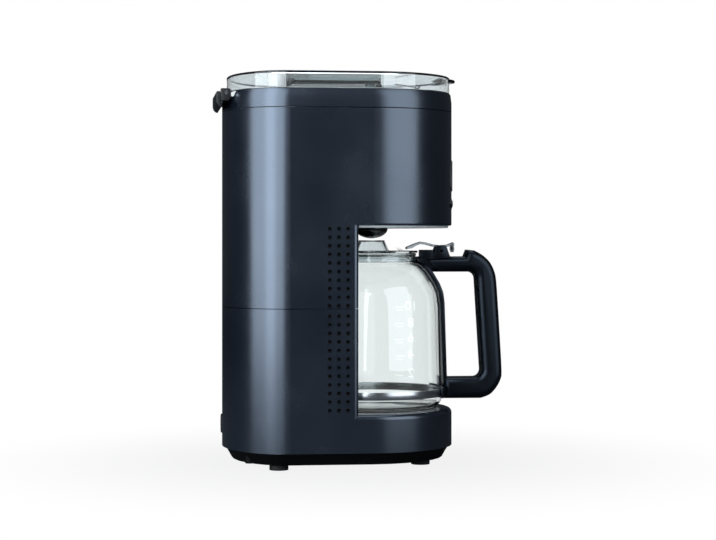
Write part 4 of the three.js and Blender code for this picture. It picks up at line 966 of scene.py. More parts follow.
def glass_line(offset, steps=3):
    """The glass from the heel up to the neck, moved outwards by an offset in millimetres."""
    heel = HEEL_RADIUS + offset
    points = []
    for i in range(11):
        a = math.radians(-90 + 9 * i)
        points.append((JUG_RADIUS - HEEL_RADIUS + heel * math.cos(a),
                       JUG_LOW_MM - offset + heel + heel * math.sin(a)))
    top, start = JUG_TOP_MM - NECK_HEIGHT, JUG_LOW_MM + SHOULDER_HEIGHT
    shoulder = [(63 + offset - 22.1 * inwards, start + (top - start + 0.4 * offset) * up)
                for inwards, up in SHOULDER]
    return points + curved(shoulder, steps)


floor_out = [(0, JUG_LOW_MM + 1.6), (30, JUG_LOW_MM + 1.2), (48, JUG_LOW_MM + 0.3)]
floor_in = [(30, JUG_LOW_MM + 3.4), (0, JUG_LOW_MM + 3.9)]
rim = [(40.9, JUG_TOP_MM - 4), (41.1, JUG_TOP_MM - 2.2), (41.5, JUG_TOP_MM - 1.2), (41.2, JUG_TOP_MM - 0.3),
       (40.2, JUG_TOP_MM), (39.2, JUG_TOP_MM - 0.3), (38.7, JUG_TOP_MM - 1.2), (38.7, JUG_TOP_MM - 2.2),
       (38.7, JUG_TOP_MM - 4)]
glass_profile = floor_out + glass_line(0) + rim + glass_line(-GLASS_WALL)[::-1] + floor_in
jug_glass = spun("jug_blown_glass", glass_profile, jug_clear, "jug", "jug_glass", steps=128, angle=60)
print("glass faces", len(jug_glass.data.polygons))

# %% [markdown]
# ## Bands on the jug
# A clear collar round the neck and a steel band round the foot hold the fittings to the glass. Both are
# plain rings with rounded edges.

# %% Collar and foot band
def band(name, node_name, finish, thickness):
    """A ring in the place of a packed band, with a thickness in millimetres."""
    radius, z0, z1 = high(node_name, 0) / MM, low(node_name) / MM, high(node_name) / MM
    line = [(radius - thickness, z0), (radius, z0), (radius, z1), (radius - thickness, z1)]
    spun(name, line, finish, "jug", node_name, closed=True, rounding=0.25, steps=128)


band("neck_ring", "neck_band", lid_clear, 1.2)
band("foot_ring", "foot_band", band_steel, 0.8)
print("bands at", round(low("neck_band") / MM, 1), "and", round(low("foot_band") / MM, 1), "mm")

# %% [markdown]
# ## Drip valve and basket
# The black glossy dome under the head is the drip valve. It sits in the spout of the filter basket and
# closes when the jug is taken away. A wire spring above it presses it down. The wire is a small circle
# spun four times round the axis, with a little rise at each step, and the coil moves with the basket.
# The basket hangs by its rim in a well, and the permanent filter hangs in the basket; both show from
# above through the clear lid.

# %% Drip valve
DOME_RADIUS = 15.1
STEM_HOLE = 2.2
valve_top = high("drip_valve") / MM
dome_top = low("filter_basket") / MM - 0.3
dome_low = low("drip_valve") / MM
dome = []
for i in range(13):
    a = math.radians(7.5 * i)
    dome.append((max(STEM_HOLE, DOME_RADIUS * math.sin(a)), dome_top - (dome_top - dome_low) * math.cos(a)))
dome += [(DOME_RADIUS, valve_top - 1.5), (16.7, valve_top - 1.5), (16.7, valve_top), (STEM_HOLE, valve_top),
         (STEM_HOLE, dome_low + 0.6)]
spun("valve_dome", dome, gloss_black, "drip", "drip_valve", closed=True, steps=64, angle=35)
print("valve dome from", round(dome_low, 1), "to", round(dome_top, 1), "mm")

# %% Valve spring
WIRE, TURNS, STEPS = 0.55 * MM, 4, 112
s_lo, s_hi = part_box("valve_spring")
bm = bmesh.new()
start = Matrix.Translation((s_hi.x - WIRE, JUG_Y, s_lo.z + WIRE)) @ Matrix.Rotation(math.radians(90), 4, "X")
wire = bmesh.ops.create_circle(bm, cap_ends=False, segments=10, radius=WIRE, matrix=start)["verts"]
bmesh.ops.spin(bm, geom=wire + edges_at(wire), cent=(0, JUG_Y, 0), axis=(0, 0, 1), angle=math.tau * TURNS,
               steps=STEPS, dvec=(0, 0, (s_hi.z - s_lo.z - 2 * WIRE) / STEPS), use_merge=False,
               use_duplicate=False)
bmesh.ops.holes_fill(bm, edges=[e for e in bm.edges if len(e.link_faces) == 1], sides=0)
bmesh.ops.recalc_face_normals(bm, faces=bm.faces)
spring = smooth(piece_from(bm, "valve_coil_spring"), 40)
dress(spring, pin_steel, "basket", "valve_spring")
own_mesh(spring)

# %% Basket, filter and well
spout = low("filter_basket") / MM
rim_z = high("filter_basket") / MM
floor_z = high("valve_spring") / MM - 0.1
basket_line = [(15.4, spout), (19, spout), (19, floor_z), (47, floor_z), (50, floor_z + 2),
               (59, floor_z + 23.5), (59, rim_z - 2), (62, rim_z - 2), (62, rim_z), (57.2, rim_z),
               (57.2, floor_z + 23.5), (48.6, floor_z + 3), (45.2, floor_z + 1.8), (17, floor_z + 1.8),
               (17, spout + 1.2), (15.4, spout + 1.2)]
spun("basket_cup", basket_line, inner_black, "basket", "filter_basket", closed=True, rounding=0.5, corner=50)

cup_low, cup_rim = low("permanent_filter") / MM, high("permanent_filter") / MM
cup_line = [(0, cup_low), (42.5, cup_low), (47.2, cup_low + 3), (56.2, cup_low + 23.5),
            (56.2, cup_rim - 2.4), (55, cup_rim - 2.4), (55, cup_low + 23.5), (46.2, cup_low + 3.8),
            (42, cup_low + 1.2), (0, cup_low + 1.2)]
spun("filter_mesh_cup", cup_line, mesh_steel, "filter", "permanent_filter", closed=True)
frame_line = [(55, cup_rim - 2.2), (59, cup_rim - 2.2), (59, cup_rim), (54.6, cup_rim),
              (54.6, cup_rim - 2.2)]
spun("filter_frame", frame_line, inner_black, "filter", closed=True, rounding=0.3)

well_low, well_rim = low("basket_well") / MM, high("basket_well") / MM
well_line = [(19.6, well_low), (62, well_low), (62, well_rim), (60, well_rim), (60, well_low + 2),
             (19.6, well_low + 2)]
spun("basket_well_cup", well_line, inner_black, "machine", closed=True, rounding=0.3)
print("basket from", round(spout, 1), "to", round(rim_z, 1), "mm, filter rim at", round(cup_rim, 1), "mm")

# %% [markdown]
# ## Rim ring
# The ring closes the top of the casing and carries the basket's well. Its outer wall leans in a little
# towards the top and is cut away at the rear, where the lid's hinge barrel turns. Its wall is raised in
# five steps, and the stretch between the hinge's ears is kept low.

# %% Rim ring
NOTCH_HALF = 42.6 * MM
NOTCH_TOP = high("hinge_bracket") - 8.4 * MM
ring_low, ring_top = RING_LOW / MM, RING_TOP / MM
bm = bmesh.new()
lofted(bm, [(0.4, ring_low - 0.2), (0, ring_low + 0.2), (0, ring_top - 8.4), (0.9, ring_top - 1),
            (1.3, ring_top - 0.2), (1.8, ring_top)])
rear_top = [v for v in bm.verts if v.co.y > REAR_CENTRE and abs(v.co.x) < NOTCH_HALF and v.co.z > NOTCH_TOP]
for v in rear_top:
    v.co.z = NOTCH_TOP
bmesh.ops.recalc_face_normals(bm, faces=bm.faces)
rim_ring = smooth(piece_from(bm, "rim_ring_wall"), 30)
thicken(rim_ring, 3.6 * MM)
dress(rim_ring, casing_black, "machine", "rim_ring")
print("rim ring", [round(v / MM, 1) for v in rim_ring.dimensions])

# %% [markdown]
# ## The head's floor round the well
# Between the ring and the well's rim the real machine has a black ledge that keeps steam and drips out
# of the head. It is a flat face between the oblong and the well's circle, and it is open over the water
# tank.

# %% Ledge round the well
LEDGE_Z = high("basket_well") - 1.2 * MM
WELL_HOLE = 62.4 * MM
TANK_HALF, TANK_DEPTH = 62 * MM, 44 * MM
bm = bmesh.new()
tank_mouth = arc(REAR_CENTRE, TANK_HALF, TANK_DEPTH, 0, 180, 40)
tank_mouth += [(side * TANK_HALF, REAR_CENTRE - 12 * MM) for side in (-1, 1)]
ledge_edges = chain(bm, body_outline(5.6 * MM), LEDGE_Z)
ledge_edges += circle(bm, (0, JUG_Y, LEDGE_Z), WELL_HOLE, 96)
ledge_edges += chain(bm, tank_mouth, LEDGE_Z)
fill_flat(bm, ledge_edges, (0, 0, 1))
ledge_piece = smooth(piece_from(bm, "ledge_round_well"), 30)
thicken(ledge_piece, 1.6 * MM)
dress(ledge_piece, inner_black, "machine")
print("ledge faces", len(ledge_piece.data.polygons))

# %% [markdown]
# ## The clear lid
# The lid is one moulding in clear SAN: an upright wall that follows the body, a flat roof with rounded
# edges, a thumb lip in front and a hinge barrel behind. The wall is 2 mm thick. Seen from the side, its
# edges gather the dark colours of the machine, which draws the thin dark lines along its top and bottom.
# The line along the top is painted on as well, by a dark bead further down.

# %% Lid shell
LID_LOW_MM, LID_TOP_MM = LID_LOW / MM, LID_TOP / MM
LID_EDGE = 1.6
SIDE_GAP, REAR_GAP = 2.2 * MM, 4.4 * MM


def lid_outline(inset):
    """The oblong of the lid, which stands further in at the rear, where its hinge is."""
    return body_outline(SIDE_GAP + inset, REAR_GAP + inset)


outside = [(2.0, LID_LOW_MM), (0.3, LID_LOW_MM), (0, LID_LOW_MM + 0.3), (0, LID_LOW_MM + 0.6),
           (0, LID_TOP_MM - 1.9), (0, LID_TOP_MM - LID_EDGE)]
for degrees in (30, 60, 90):
    a = math.radians(degrees)
    outside.append((LID_EDGE * (1 - math.cos(a)), LID_TOP_MM - LID_EDGE * (1 - math.sin(a))))
outside.append((2.2, LID_TOP_MM))
inside = [(2.0, LID_TOP_MM - 3.1), (2.0, LID_TOP_MM - 2.8), (2.8, LID_TOP_MM - 2.0), (3.4, LID_TOP_MM - 2.0)]
bm = bmesh.new()
inner_edges, roof_edges = lofted(bm, outside, lid_outline)
bmesh.ops.holes_fill(bm, edges=roof_edges, sides=0)
for inset, height in inside:
    inner_edges = next_ring(bm, inner_edges, lid_outline(inset * MM), height * MM)
bmesh.ops.holes_fill(bm, edges=inner_edges, sides=0)
bmesh.ops.recalc_face_normals(bm, faces=bm.faces)
lid_shell = smooth(piece_from(bm, "lid_clear_shell"), 35)
dress(lid_shell, lid_clear, "lid", "lid_shell")
print("lid faces", len(lid_shell.data.polygons))

# %% Thumb lip
LIP_THICKNESS = 2.4 * MM
lip_outer = [(45 * MM * math.cos(math.radians(a)), FRONT_CENTRE + 85.9 * MM * math.sin(math.radians(a)))
             for a in range(-125, -54, 5)]
lip_inner = [(x, front_y(x, 2.4 * MM)) for x, y in reversed(lip_outer)]
bm = bmesh.new()
lip_edges = chain(bm, lip_outer + lip_inner, LID_TOP - 1.4 * MM - LIP_THICKNESS)
lip_face = bmesh.ops.contextual_create(bm, geom=lip_edges)["faces"]
made = bmesh.ops.extrude_face_region(bm, geom=lip_face)["geom"]
bmesh.ops.translate(bm, verts=verts_of(made), vec=(0, 0, LIP_THICKNESS))
bmesh.ops.recalc_face_normals(bm, faces=bm.faces)
round_edges(bm, sharp_edges(bm, 50), 0.7 * MM)
lip = smooth(piece_from(bm, "lid_thumb_lip"), 40)
dress(lip, lid_clear, "lid")
print("thumb lip", [round(v / MM, 1) for v in lip.dimensions])

# %% Hinge barrel and pin
HINGE_Y, HINGE_Z = middle("hinge_pin", 1), middle("hinge_pin")


def along_x(name, profile, y, z, finish, body, *replaced, rounding=0.2, closed=True):
    """A piece turned round an axis across the machine, from (radius, x) pairs in millimetres."""
    points = [(x * MM, y + r * MM, z) for r, x in profile]
    made = turned(name, points, (0, y, z), (1, 0, 0), closed, 48, rounding)
    return dress(made, finish, body, *replaced)


along_x("lid_hinge_barrel", [(2.2, -33.5), (4.4, -33.5), (4.4, 33.5), (2.2, 33.5)], HINGE_Y, HINGE_Z,
        lid_clear, "lid")
along_x("hinge_steel_pin", [(0, -42.1), (1.7, -42.1), (1.9, -41.7), (1.9, 41.7), (1.7, 42.1), (0, 42.1)],
        HINGE_Y, HINGE_Z, pin_steel, "machine", "hinge_pin", closed=False, rounding=0)
print("hinge axis at", round(HINGE_Y / MM, 1), round(HINGE_Z / MM, 1), "mm")

# %% [markdown]
# ## Handle and strap
# The handle is a solid nylon moulding with a soft, rounded section, clamped to the glass by a strap that
# runs down the jug's front. Both are cut from a side outline: the outline is filled, pulled across to
# the part's width, and each side face is then inset in small steps while it is lifted, which rounds the
# edges like a router does. The handle's line is drawn in shares of its reach and of the jug's height.
# The strap carries a curved clamp that grips the foot band.

# %% Round a flat outline
def slab(name, outline, half_width, rounding, finish, body, *replaced, segments=6, angle=50):
    """A piece cut from a side outline; the outline holds (y, z) points in metres."""
    bm = bmesh.new()
    reach = half_width - rounding
    face = bm.faces.new([bm.verts.new((reach, y, z)) for y, z in outline])
    push_faces(bm, [face], (-2 * reach, 0, 0))
    for cap in [f for f in bm.faces if abs(f.normal.x) > 0.9]:
        for i in range(segments):
            a0, a1 = (math.radians(90 * k / segments) for k in (i, i + 1))
            bmesh.ops.inset_region(bm, faces=[cap], thickness=rounding * (math.cos(a0) - math.cos(a1)),
                                   depth=rounding * (math.sin(a1) - math.sin(a0)), use_even_offset=True,
                                   use_boundary=True)
    return dress(smooth(piece_from(bm, name), angle), finish, body, *replaced)


def jug_side(points):
    """Turns (radius, height) pairs of the jug's front side into (y, z) points in metres."""
    return [(JUG_Y - r * MM, z * MM) for r, z in points]


REACH, TALL = (JUG_Y - low("jug_handle", 1)) / MM, JUG_TOP_MM - JUG_LOW_MM


def handle_points(shares):
    """Turns shares of the handle's reach and of the jug's height into (radius, height) pairs."""
    return [(REACH * r, JUG_LOW_MM + TALL * z) for r, z in shares]


def turned_corner(before, at, after, radius, steps=6):
    """The arc that rounds the corner at a point between two neighbours, as points in millimetres."""
    at = Vector(at)
    into, out = (at - Vector(before)).normalized(), (Vector(after) - at).normalized()
    half = into.angle(out) / 2
    centre = at + (out - into).normalized() * radius / math.cos(half)
    start, end = at - into * radius * math.tan(half), at + out * radius * math.tan(half)
    points = []
    for i in range(steps + 1):
        spoke = start.lerp(end, i / steps) - centre
        points.append(tuple(centre + spoke.normalized() * radius))
    return points


print("handle reaches", round(REACH, 1), "mm from the jug's axis")

# %% Handle
INNER_CORNER = 6.5
outer_bend = [(0.788, 1.017), (0.844, 0.991), (0.889, 0.959), (0.918, 0.927), (0.943, 0.88),
              (0.958, 0.818), (0.974, 0.62), (0.988, 0.423), (1, 0.225), (0.991, 0.168), (0.956, 0.113),
              (0.905, 0.069), (0.836, 0.047)]
line = [(46, JUG_LOW_MM + 0.978 * TALL)] + handle_points([(0.708, 0.978), (0.729, 1.022)])
line += curved(handle_points(outer_bend), 3)
foot_in, low_in, top_in, neck_in = handle_points([(0.545, 0.189), (0.8415, 0.189), (0.7925, 0.877),
                                                  (0.5, 0.877)])
line += handle_points([(0.545, 0.048)]) + [foot_in]
line += turned_corner(foot_in, low_in, top_in, INNER_CORNER)
line += turned_corner(low_in, top_in, neck_in, INNER_CORNER)
line += [(57, JUG_LOW_MM + 0.877 * TALL)]
handle = slab("handle_moulding", jug_side(line), 11 * MM, 6.6 * MM, handle_black, "jug", "jug_handle",
              segments=8)
root_line = [(43.3, JUG_LOW_MM + 0.978 * TALL), (43.3, JUG_TOP_MM - 8.6), (47.5, JUG_TOP_MM - 12),
             (54, JUG_LOW_MM + 0.89 * TALL), (62, JUG_LOW_MM + 0.885 * TALL), (62, JUG_LOW_MM + 0.97 * TALL)]
slab("handle_root", jug_side(root_line), 9 * MM, 1.2 * MM, handle_black, "jug", segments=3)
print("handle points", len(line), "faces", len(handle.data.polygons))

# %% Strap
STRAP_LOW, STRAP_TOP = JUG_LOW_MM + 7.4, JUG_TOP_MM - 9.3
strap_in = [p for p in glass_line(0.3) if STRAP_LOW < p[1] < STRAP_TOP]
strap_out = [p for p in glass_line(4.8) if STRAP_LOW < p[1] < STRAP_TOP]
strap_line = [(66.6, STRAP_LOW)] + strap_in[2:] + strap_out[:1:-1] + [(70.2, STRAP_LOW)]
strap = slab("strap_moulding", jug_side(strap_line), 9 * MM, 1.2 * MM, handle_black, "jug", "handle_strap",
             segments=3)
print("strap", [round(v / MM, 1) for v in strap.dimensions])


# %% Clamp
def clamp_block(name, radius_in, radius_out, z0, z1, half_angle, finish, body):
    """A curved block round the jug's axis, centred on the front."""
    bm = bmesh.new()
    start = Matrix.Rotation(math.radians(-90 - half_angle), 3, "Z")
    corners = []
    for r, z in ((radius_in, z0), (radius_out, z0), (radius_out, z1), (radius_in, z1)):
        p = start @ Vector((r * MM, 0, 0))
        corners.append((p.x, p.y + JUG_Y, z * MM))
    bmesh.ops.contextual_create(bm, geom=joined(bm, corners)[1])
    bmesh.ops.spin(bm, geom=bm.faces[:] + bm.edges[:] + bm.verts[:], cent=(0, JUG_Y, 0), axis=(0, 0, 1),
                   angle=math.radians(2 * half_angle), steps=16, use_merge=False, use_duplicate=False)
    bmesh.ops.remove_doubles(bm, verts=bm.verts, dist=WELD)
    inner = [f for f in bm.faces if all(len(e.link_faces) > 2 for e in f.edges)]
    bmesh.ops.delete(bm, geom=inner, context="FACES_ONLY")
    bmesh.ops.recalc_face_normals(bm, faces=bm.faces)
    round_edges(bm, sharp_edges(bm, 60), 0.7 * MM, 2)
    return dress(smooth(piece_from(bm, name), 40), finish, body)


band_low, band_high = low("foot_band") / MM, high("foot_band") / MM
clamp = clamp_block("strap_clamp", 66.5, 68.8, band_low - 1.5, band_high + 1.5, 25, handle_black, "jug")
print("clamp", [round(v / MM, 1) for v in clamp.dimensions])

# %% [markdown]
# ## Lid pin and its ears
# On top of the arm two small ears carry a steel pin, and the jug's lid turns on it. Behind them a short
# block stops the lid when it is closed.

# %% Ears, block and pin
PIN_Y, PIN_Z = middle("jug_lid_pin", 1), middle("jug_lid_pin")
PIN_EAR = [(-8.5, -7), (8.5, -7), (4.6, 4), (3.4, 4.9), (-3.4, 4.9), (-4.6, 4)]
for name, across in (("left", -7.7), ("right", 7.7)):
    outline = [(PIN_Y + y * MM, PIN_Z + z * MM) for y, z in PIN_EAR]
    ear = slab(f"pin_ear_{name}", outline, 1.5 * MM, 0.5 * MM, handle_black, "jug", segments=2)
    ear.data.transform(Matrix.Translation((across * MM, 0, 0)))
along_x("lid_pin", [(0, -9.2), (1.3, -9.2), (1.6, -8.9), (1.6, 8.9), (1.3, 9.2), (0, 9.2)], PIN_Y, PIN_Z,
        pin_steel, "jug", "jug_lid_pin", closed=False, rounding=0)
block_line = handle_points([(0.374, 0.965), (0.374, 1.018), (0.38, 1.021), (0.461, 1.021), (0.467, 1.018),
                            (0.467, 0.965)])
slab("lid_stop_block", jug_side(block_line), 9 * MM, 0.8 * MM, handle_black, "jug", segments=3)
print("pin at", round(PIN_Y / MM, 1), round(PIN_Z / MM, 1), "mm")

# %% [markdown]
# ## The jug's lid
# The lid is one clear moulding: a disc on the rim, a skirt inside the neck, a funnel in the middle that
# lifts the drip valve, and a thumb lever that reaches over the handle. Clear plastic shows by its edges,
# so each edge gets a small radius that catches a dark or bright line.

# %% Jug lid
lid_top = low("drip_valve") / MM - 1.8
disc_low = JUG_TOP_MM + 0.3
disc_top = disc_low + 1.9
lid_profile = [(4, lid_top), (4, lid_top - 1.6), (10.4, lid_top - 1.6), (14.8, disc_top - 1.6),
               (36.1, disc_top - 1.6), (36.1, disc_low - 6.5), (37.7, disc_low - 6.5), (37.7, disc_low),
               (42.7, disc_low), (42.7, disc_top), (16.4, disc_top), (12, lid_top)]
spun("jug_lid_disc", lid_profile, lid_clear, "jug_top", "jug_lid", closed=True, rounding=0.35)
print("disc from", round(disc_low, 1), "to", round(disc_top, 1), "mm, peak at", round(lid_top, 1), "mm")

# %% Thumb lever
LEVER_SIZE = 43.8 * MM
lever_shares = [(0.73, 0.078), (0.57, 0.146), (0.434, 0.192), (0.32, 0.176), (0.183, 0.137), (0.023, 0.116),
                (-0.137, 0.128), (-0.269, 0.178), (-0.269, -0.034), (-0.233, -0.034), (-0.233, 0.105),
                (-0.137, 0.082), (0.023, 0.071), (0.183, 0.091), (0.32, 0.13), (0.434, 0.144), (0.548, 0.1),
                (0.616, 0.055), (0.73, 0.032)]
lever_line = [(PIN_Y + LEVER_SIZE * y, PIN_Z + LEVER_SIZE * z) for y, z in lever_shares]
lever = slab("jug_lid_lever", lever_line, 5.6 * MM, 0.5 * MM, lever_clear, "jug_top", segments=2)
along_x("jug_lid_knuckle", [(1.9, -5.6), (3.5, -5.6), (3.5, 5.6), (1.9, 5.6)], PIN_Y, PIN_Z, lid_clear,
        "jug_top", rounding=0.4)
tab_y, tab_top = PIN_Y - 0.269 * LEVER_SIZE, PIN_Z + 7 * MM
tab_line = [(tab_y, PIN_Z), (tab_y + 1.6 * MM, PIN_Z), (tab_y + 1.6 * MM, tab_top), (tab_y, tab_top)]
slab("jug_lid_tab", tab_line, 9 * MM, 0.4 * MM, lid_clear, "jug_top", segments=2)
print("lid lever", [round(v / MM, 1) for v in lever.dimensions])

# %% [markdown]
# ## Display window
# The window is a smoke-tinted acrylic lens with rounded corners that follows the round front and stands
# 0.8 mm proud of it. Its outline is drawn flat and filled, sliced upright every 2 mm so that it can
# bend, pressed onto the front's curve, and pulled back to its thickness.

# %% Window lens
def rounded_rectangle(width, height, radius, steps=6):
    """Outline of a rounded rectangle round the origin, counter-clockwise."""
    points = []
    for cx, cz, start in ((1, 1, 0), (-1, 1, 90), (-1, -1, 180), (1, -1, 270)):
        for i in range(steps + 1):
            a = math.radians(start + 90 * i / steps)
            points.append((cx * (width / 2 - radius) + radius * math.cos(a),
                           cz * (height / 2 - radius) + radius * math.sin(a)))
    return points


SLICE_MM = 2


def pressed_plate(name, outline, centre_z, proud, thickness, rounding, finish, body, *replaced):
    """A plate bent onto the machine's front. The outline holds (x, z) points in millimetres, and proud,
    thickness and rounding are in millimetres too."""
    bm = bmesh.new()
    bm.faces.new([bm.verts.new((x * MM, 0, centre_z + z * MM)) for x, z in outline])
    reach = max(x for x, z in outline)
    cut = -reach + SLICE_MM
    while cut < reach:
        bmesh.ops.bisect_plane(bm, geom=bm.faces[:] + bm.edges[:] + bm.verts[:], plane_co=(cut * MM, 0, 0),
                               plane_no=(1, 0, 0))
        cut += SLICE_MM
    for v in bm.verts:
        v.co.y = front_y(v.co.x) - proud * MM
    push_faces(bm, bm.faces[:], (0, thickness * MM, 0))
    front = sharp_edges(bm, 60, lambda e: all(abs(v.co.y - front_y(v.co.x) + proud * MM) < NEAR
                                              for v in e.verts))
    round_edges(bm, front, rounding * MM)
    return dress(smooth(piece_from(bm, name), 40), finish, body, *replaced)


lens = pressed_plate("window_lens", rounded_rectangle(50, 28, 4), WINDOW_Z, 0.8, 3.3, 0.5, window_smoke,
                     "machine", "display_window")
print("window", [round(v / MM, 1) for v in lens.dimensions])

# %% [markdown]
# ## Clock digits
# Behind the window a liquid-crystal panel shows the time in seven-bar digits. Each bar is a thin plate
# on the panel's face; a table says which bars each digit lights.

# %% Digits on the panel
# Each bar's place across and up, its width and its height, in millimetres.
BARS = {"a": (0, 5, 4.4, 0.9), "g": (0, 0, 4.4, 0.9), "d": (0, -5, 4.4, 0.9), "b": (2.6, 2.5, 0.9, 4.2),
        "c": (2.6, -2.5, 0.9, 4.2), "f": (-2.6, 2.5, 0.9, 4.2), "e": (-2.6, -2.5, 0.9, 4.2)}
LIT = {"1": "bc", "2": "abged", "0": "abcdef"}
BAR_DEPTH = 0.1 * MM


def bar_plate(bm, x, z, width, height):
    """A thin plate on the face of the panel, in millimetres from the middle of the window."""
    spot = Matrix.Translation((x * MM, low("lcd_panel", 1) - BAR_DEPTH / 2, WINDOW_Z + z * MM))
    size = Matrix.Diagonal((width * MM, BAR_DEPTH, height * MM, 1))
    bmesh.ops.create_cube(bm, size=1, matrix=spot @ size)


bm = bmesh.new()
for digit, across in (("1", -11.6), ("2", -4.4), ("0", 4.4), ("0", 11.6)):
    for bar in LIT[digit]:
        x, z, width, height = BARS[bar]
        bar_plate(bm, across + x, z, width, height)
for z in (-2, 2):
    bar_plate(bm, 0, z, 1.1, 1.1)
digits = smooth(piece_from(bm, "clock_digits"), 30)
dress(digits, inner_black, "machine")
print("digit bars", len(digits.data.polygons) // 6)

# %% [markdown]
# ## Keys and power button
# Four black keys with gently domed caps sit beside a steel power button with a turned recess. Each cap
# is a profile spun round an axis that runs front to back. A blue light below the power button glows when
# the machine is on.

# %% Caps
def along_y(name, profile, x, z, finish, body, *replaced, rounding=0.25):
    """A piece turned round an axis from front to back, from (radius, y) pairs, the radius in millimetres."""
    points = [(x + r * MM, y, z) for r, y in profile]
    made = turned(name, points, (x, 0, z), (0, 1, 0), False, 48, rounding, segments=3)
    return dress(made, finish, body, *replaced)


for key in ("program", "hour", "minute", "auto"):
    x, z, radius = key_circle(key)
    radius /= MM
    y0, y1 = low(f"{key}_button", 1), high(f"{key}_button", 1)
    cap_line = [(0, y0 - 0.1 * MM), (radius * 0.5, y0), (radius, y0 + 0.5 * MM), (radius, y1), (0, y1)]
    along_y(f"{key}_cap", cap_line, x, z, gloss_black, f"{key}_key", f"{key}_button")
BUTTON_Z = middle("power_button")
power_r = key_circle("power")[2] / MM
y0, y1 = low("power_button", 1), high("power_button", 1)
power_line = [(0, y0 + 0.6 * MM), (power_r - 1.6, y0 + 0.5 * MM), (power_r - 1.2, y0), (power_r, y0),
              (power_r, y1), (0, y1)]
along_y("power_cap", power_line, 0, BUTTON_Z, pin_steel, "power_key", "power_button", rounding=0.15)
y0, y1 = low("indicator_light", 1), high("indicator_light", 1)
light_line = [(0, y0), (1.2, y0 + 0.1 * MM), (1.8, y0 + 0.5 * MM), (1.8, y1), (0, y1)]
along_y("indicator_lens", light_line, 0, middle("indicator_light"), indicator_blue, "machine",
        "indicator_light", rounding=0.1)
print("power button radius", round(power_r, 1), "mm")

# %% [markdown]
# ## Bezel round the keys
# The openings in the shell show as thin dark rings round the keys. A narrow trim ring per key, pressed
# into the front, gives each opening its edge.

# %% Trim rings
TRIM_PROUD = 0.15 * MM
for key in KEYS:
    x, z, radius = key_circle(key)
    bm = bmesh.new()
    loops = circle(bm, (0, 0, 0), radius + 1.1 * MM, 40) + circle(bm, (0, 0, 0), radius + 0.25 * MM, 40)
    bmesh.ops.bridge_loops(bm, edges=loops)
    for v in bm.verts:
        v.co = (x + v.co.x, front_y(x + v.co.x) - TRIM_PROUD, BUTTON_Z + v.co.y)
    push_faces(bm, bm.faces[:], (0, 1.2 * MM, 0))
    ring_piece = smooth(piece_from(bm, f"{key}_trim_ring"), 40)
    dress(ring_piece, inner_black, "machine")
print("trim rings at z", round(BUTTON_Z / MM, 1), "mm")

# %% [markdown]
# ## The jug's scale
# White ceramic ink marks the cups on the far side of the jug, so that a reader on that side sees it the
# right way round. The digits come from a text curve that is made a mesh, and every point of digits and
# strokes is then laid onto the glass: across becomes an angle round the jug's axis.

# %% Scale on the glass
def on_glass(x, z, lift=0.06):
    """Puts a point that lies x mm across and z mm up onto the far side of the glass, whose wall tapers."""
    radius = JUG_RADIUS - 2 * (z - JUG_LOW_MM - HEEL_RADIUS) / (SHOULDER_HEIGHT - HEEL_RADIUS) + lift
    angle = -x / radius
    return Vector((radius * math.cos(angle) * MM, JUG_Y + radius * math.sin(angle) * MM, z * MM))


DIGIT_SIZE = 12.5
DIGITS_ACROSS, TICKS_ACROSS = 49.6, 36.5
WIDER = 1.3
ink = bmesh.new()
for number, height in (("2", 77.3), ("4", 95), ("6", 110.8), ("8", 125.7), ("10", 141.5)):
    curve = bpy.data.curves.new(f"cups_{number}", "FONT")
    curve.body = number
    curve.size = DIGIT_SIZE
    curve.align_x = "CENTER"
    curve.align_y = "CENTER"
    holder = bpy.data.objects.new(f"cups_{number}", curve)
    flat = holder.to_mesh()
    part = bmesh.new()
    part.from_mesh(flat)
    bmesh.ops.triangulate(part, faces=part.faces)
    bmesh.ops.subdivide_edges(part, edges=part.edges, cuts=1)
    for v in part.verts:
        v.co = on_glass(DIGITS_ACROSS - WIDER * v.co.x, height + v.co.y)
    add_part(ink, part)
    holder.to_mesh_clear()
    bpy.data.objects.remove(holder)
print("digits", len(ink.faces), "faces")

# %% Strokes and the finished scale
STROKE_HALF = 0.4
# Each stroke's height on the jug and its half length, in millimetres.
STROKES = ((75, 4), (90.6, 3), (93.6, 4), (106.2, 3), (109.2, 4), (121.8, 3), (124.8, 4), (137.4, 3),
           (140.4, 4))
for height, half in STROKES:
    low_row = [(-half, -STROKE_HALF), (0, -STROKE_HALF), (half, -STROKE_HALF)]
    high_row = [(half, STROKE_HALF), (0, STROKE_HALF), (-half, STROKE_HALF)]
    verts = [ink.verts.new(on_glass(TICKS_ACROSS + dx, height + dz)) for dx, dz in low_row + high_row]
    ink.faces.new((verts[0], verts[1], verts[4], verts[5]))
    ink.faces.new((verts[1], verts[2], verts[3], verts[4]))
scale = smooth(piece_from(ink, "cup_scale"), 60)
scale.data.materials.append(scale_ink_painted_glow)
ink_film = scale.modifiers.new("ink", "SOLIDIFY")
ink_film.thickness = 0.05 * MM
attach(scale, "jug")
print("scale faces", len(scale.data.polygons))

# %% [markdown]
# ## Rim of the lid
# Looked at along the roof, the light passes through some 170 mm of clear plastic and comes out dark, so
# the lid seems to have a dark rim. A thin bead of dark-tinted plastic along the edge of the roof paints
# that dark line on, as painted shade, from every side.

# %% Dark bead round the roof
bead_levels = [(-0.1, LID_TOP_MM - 2.2), (-0.25, LID_TOP_MM - 1.9), (-0.1, LID_TOP_MM - 0.7),
               (0.6, LID_TOP_MM - 0.1), (1.6, LID_TOP_MM + 0.05), (2.2, LID_TOP_MM + 0.05)]
bm = bmesh.new()
lofted(bm, bead_levels, lid_outline)
bmesh.ops.recalc_face_normals(bm, faces=bm.faces)
bead = smooth(piece_from(bm, "lid_edge_painted_shade_bead"), 60)
thicken(bead, 0.5 * MM)
dress(bead, lid_painted_edge_shade, "lid")
print("bead", [round(v / MM, 1) for v in bead.dimensions])

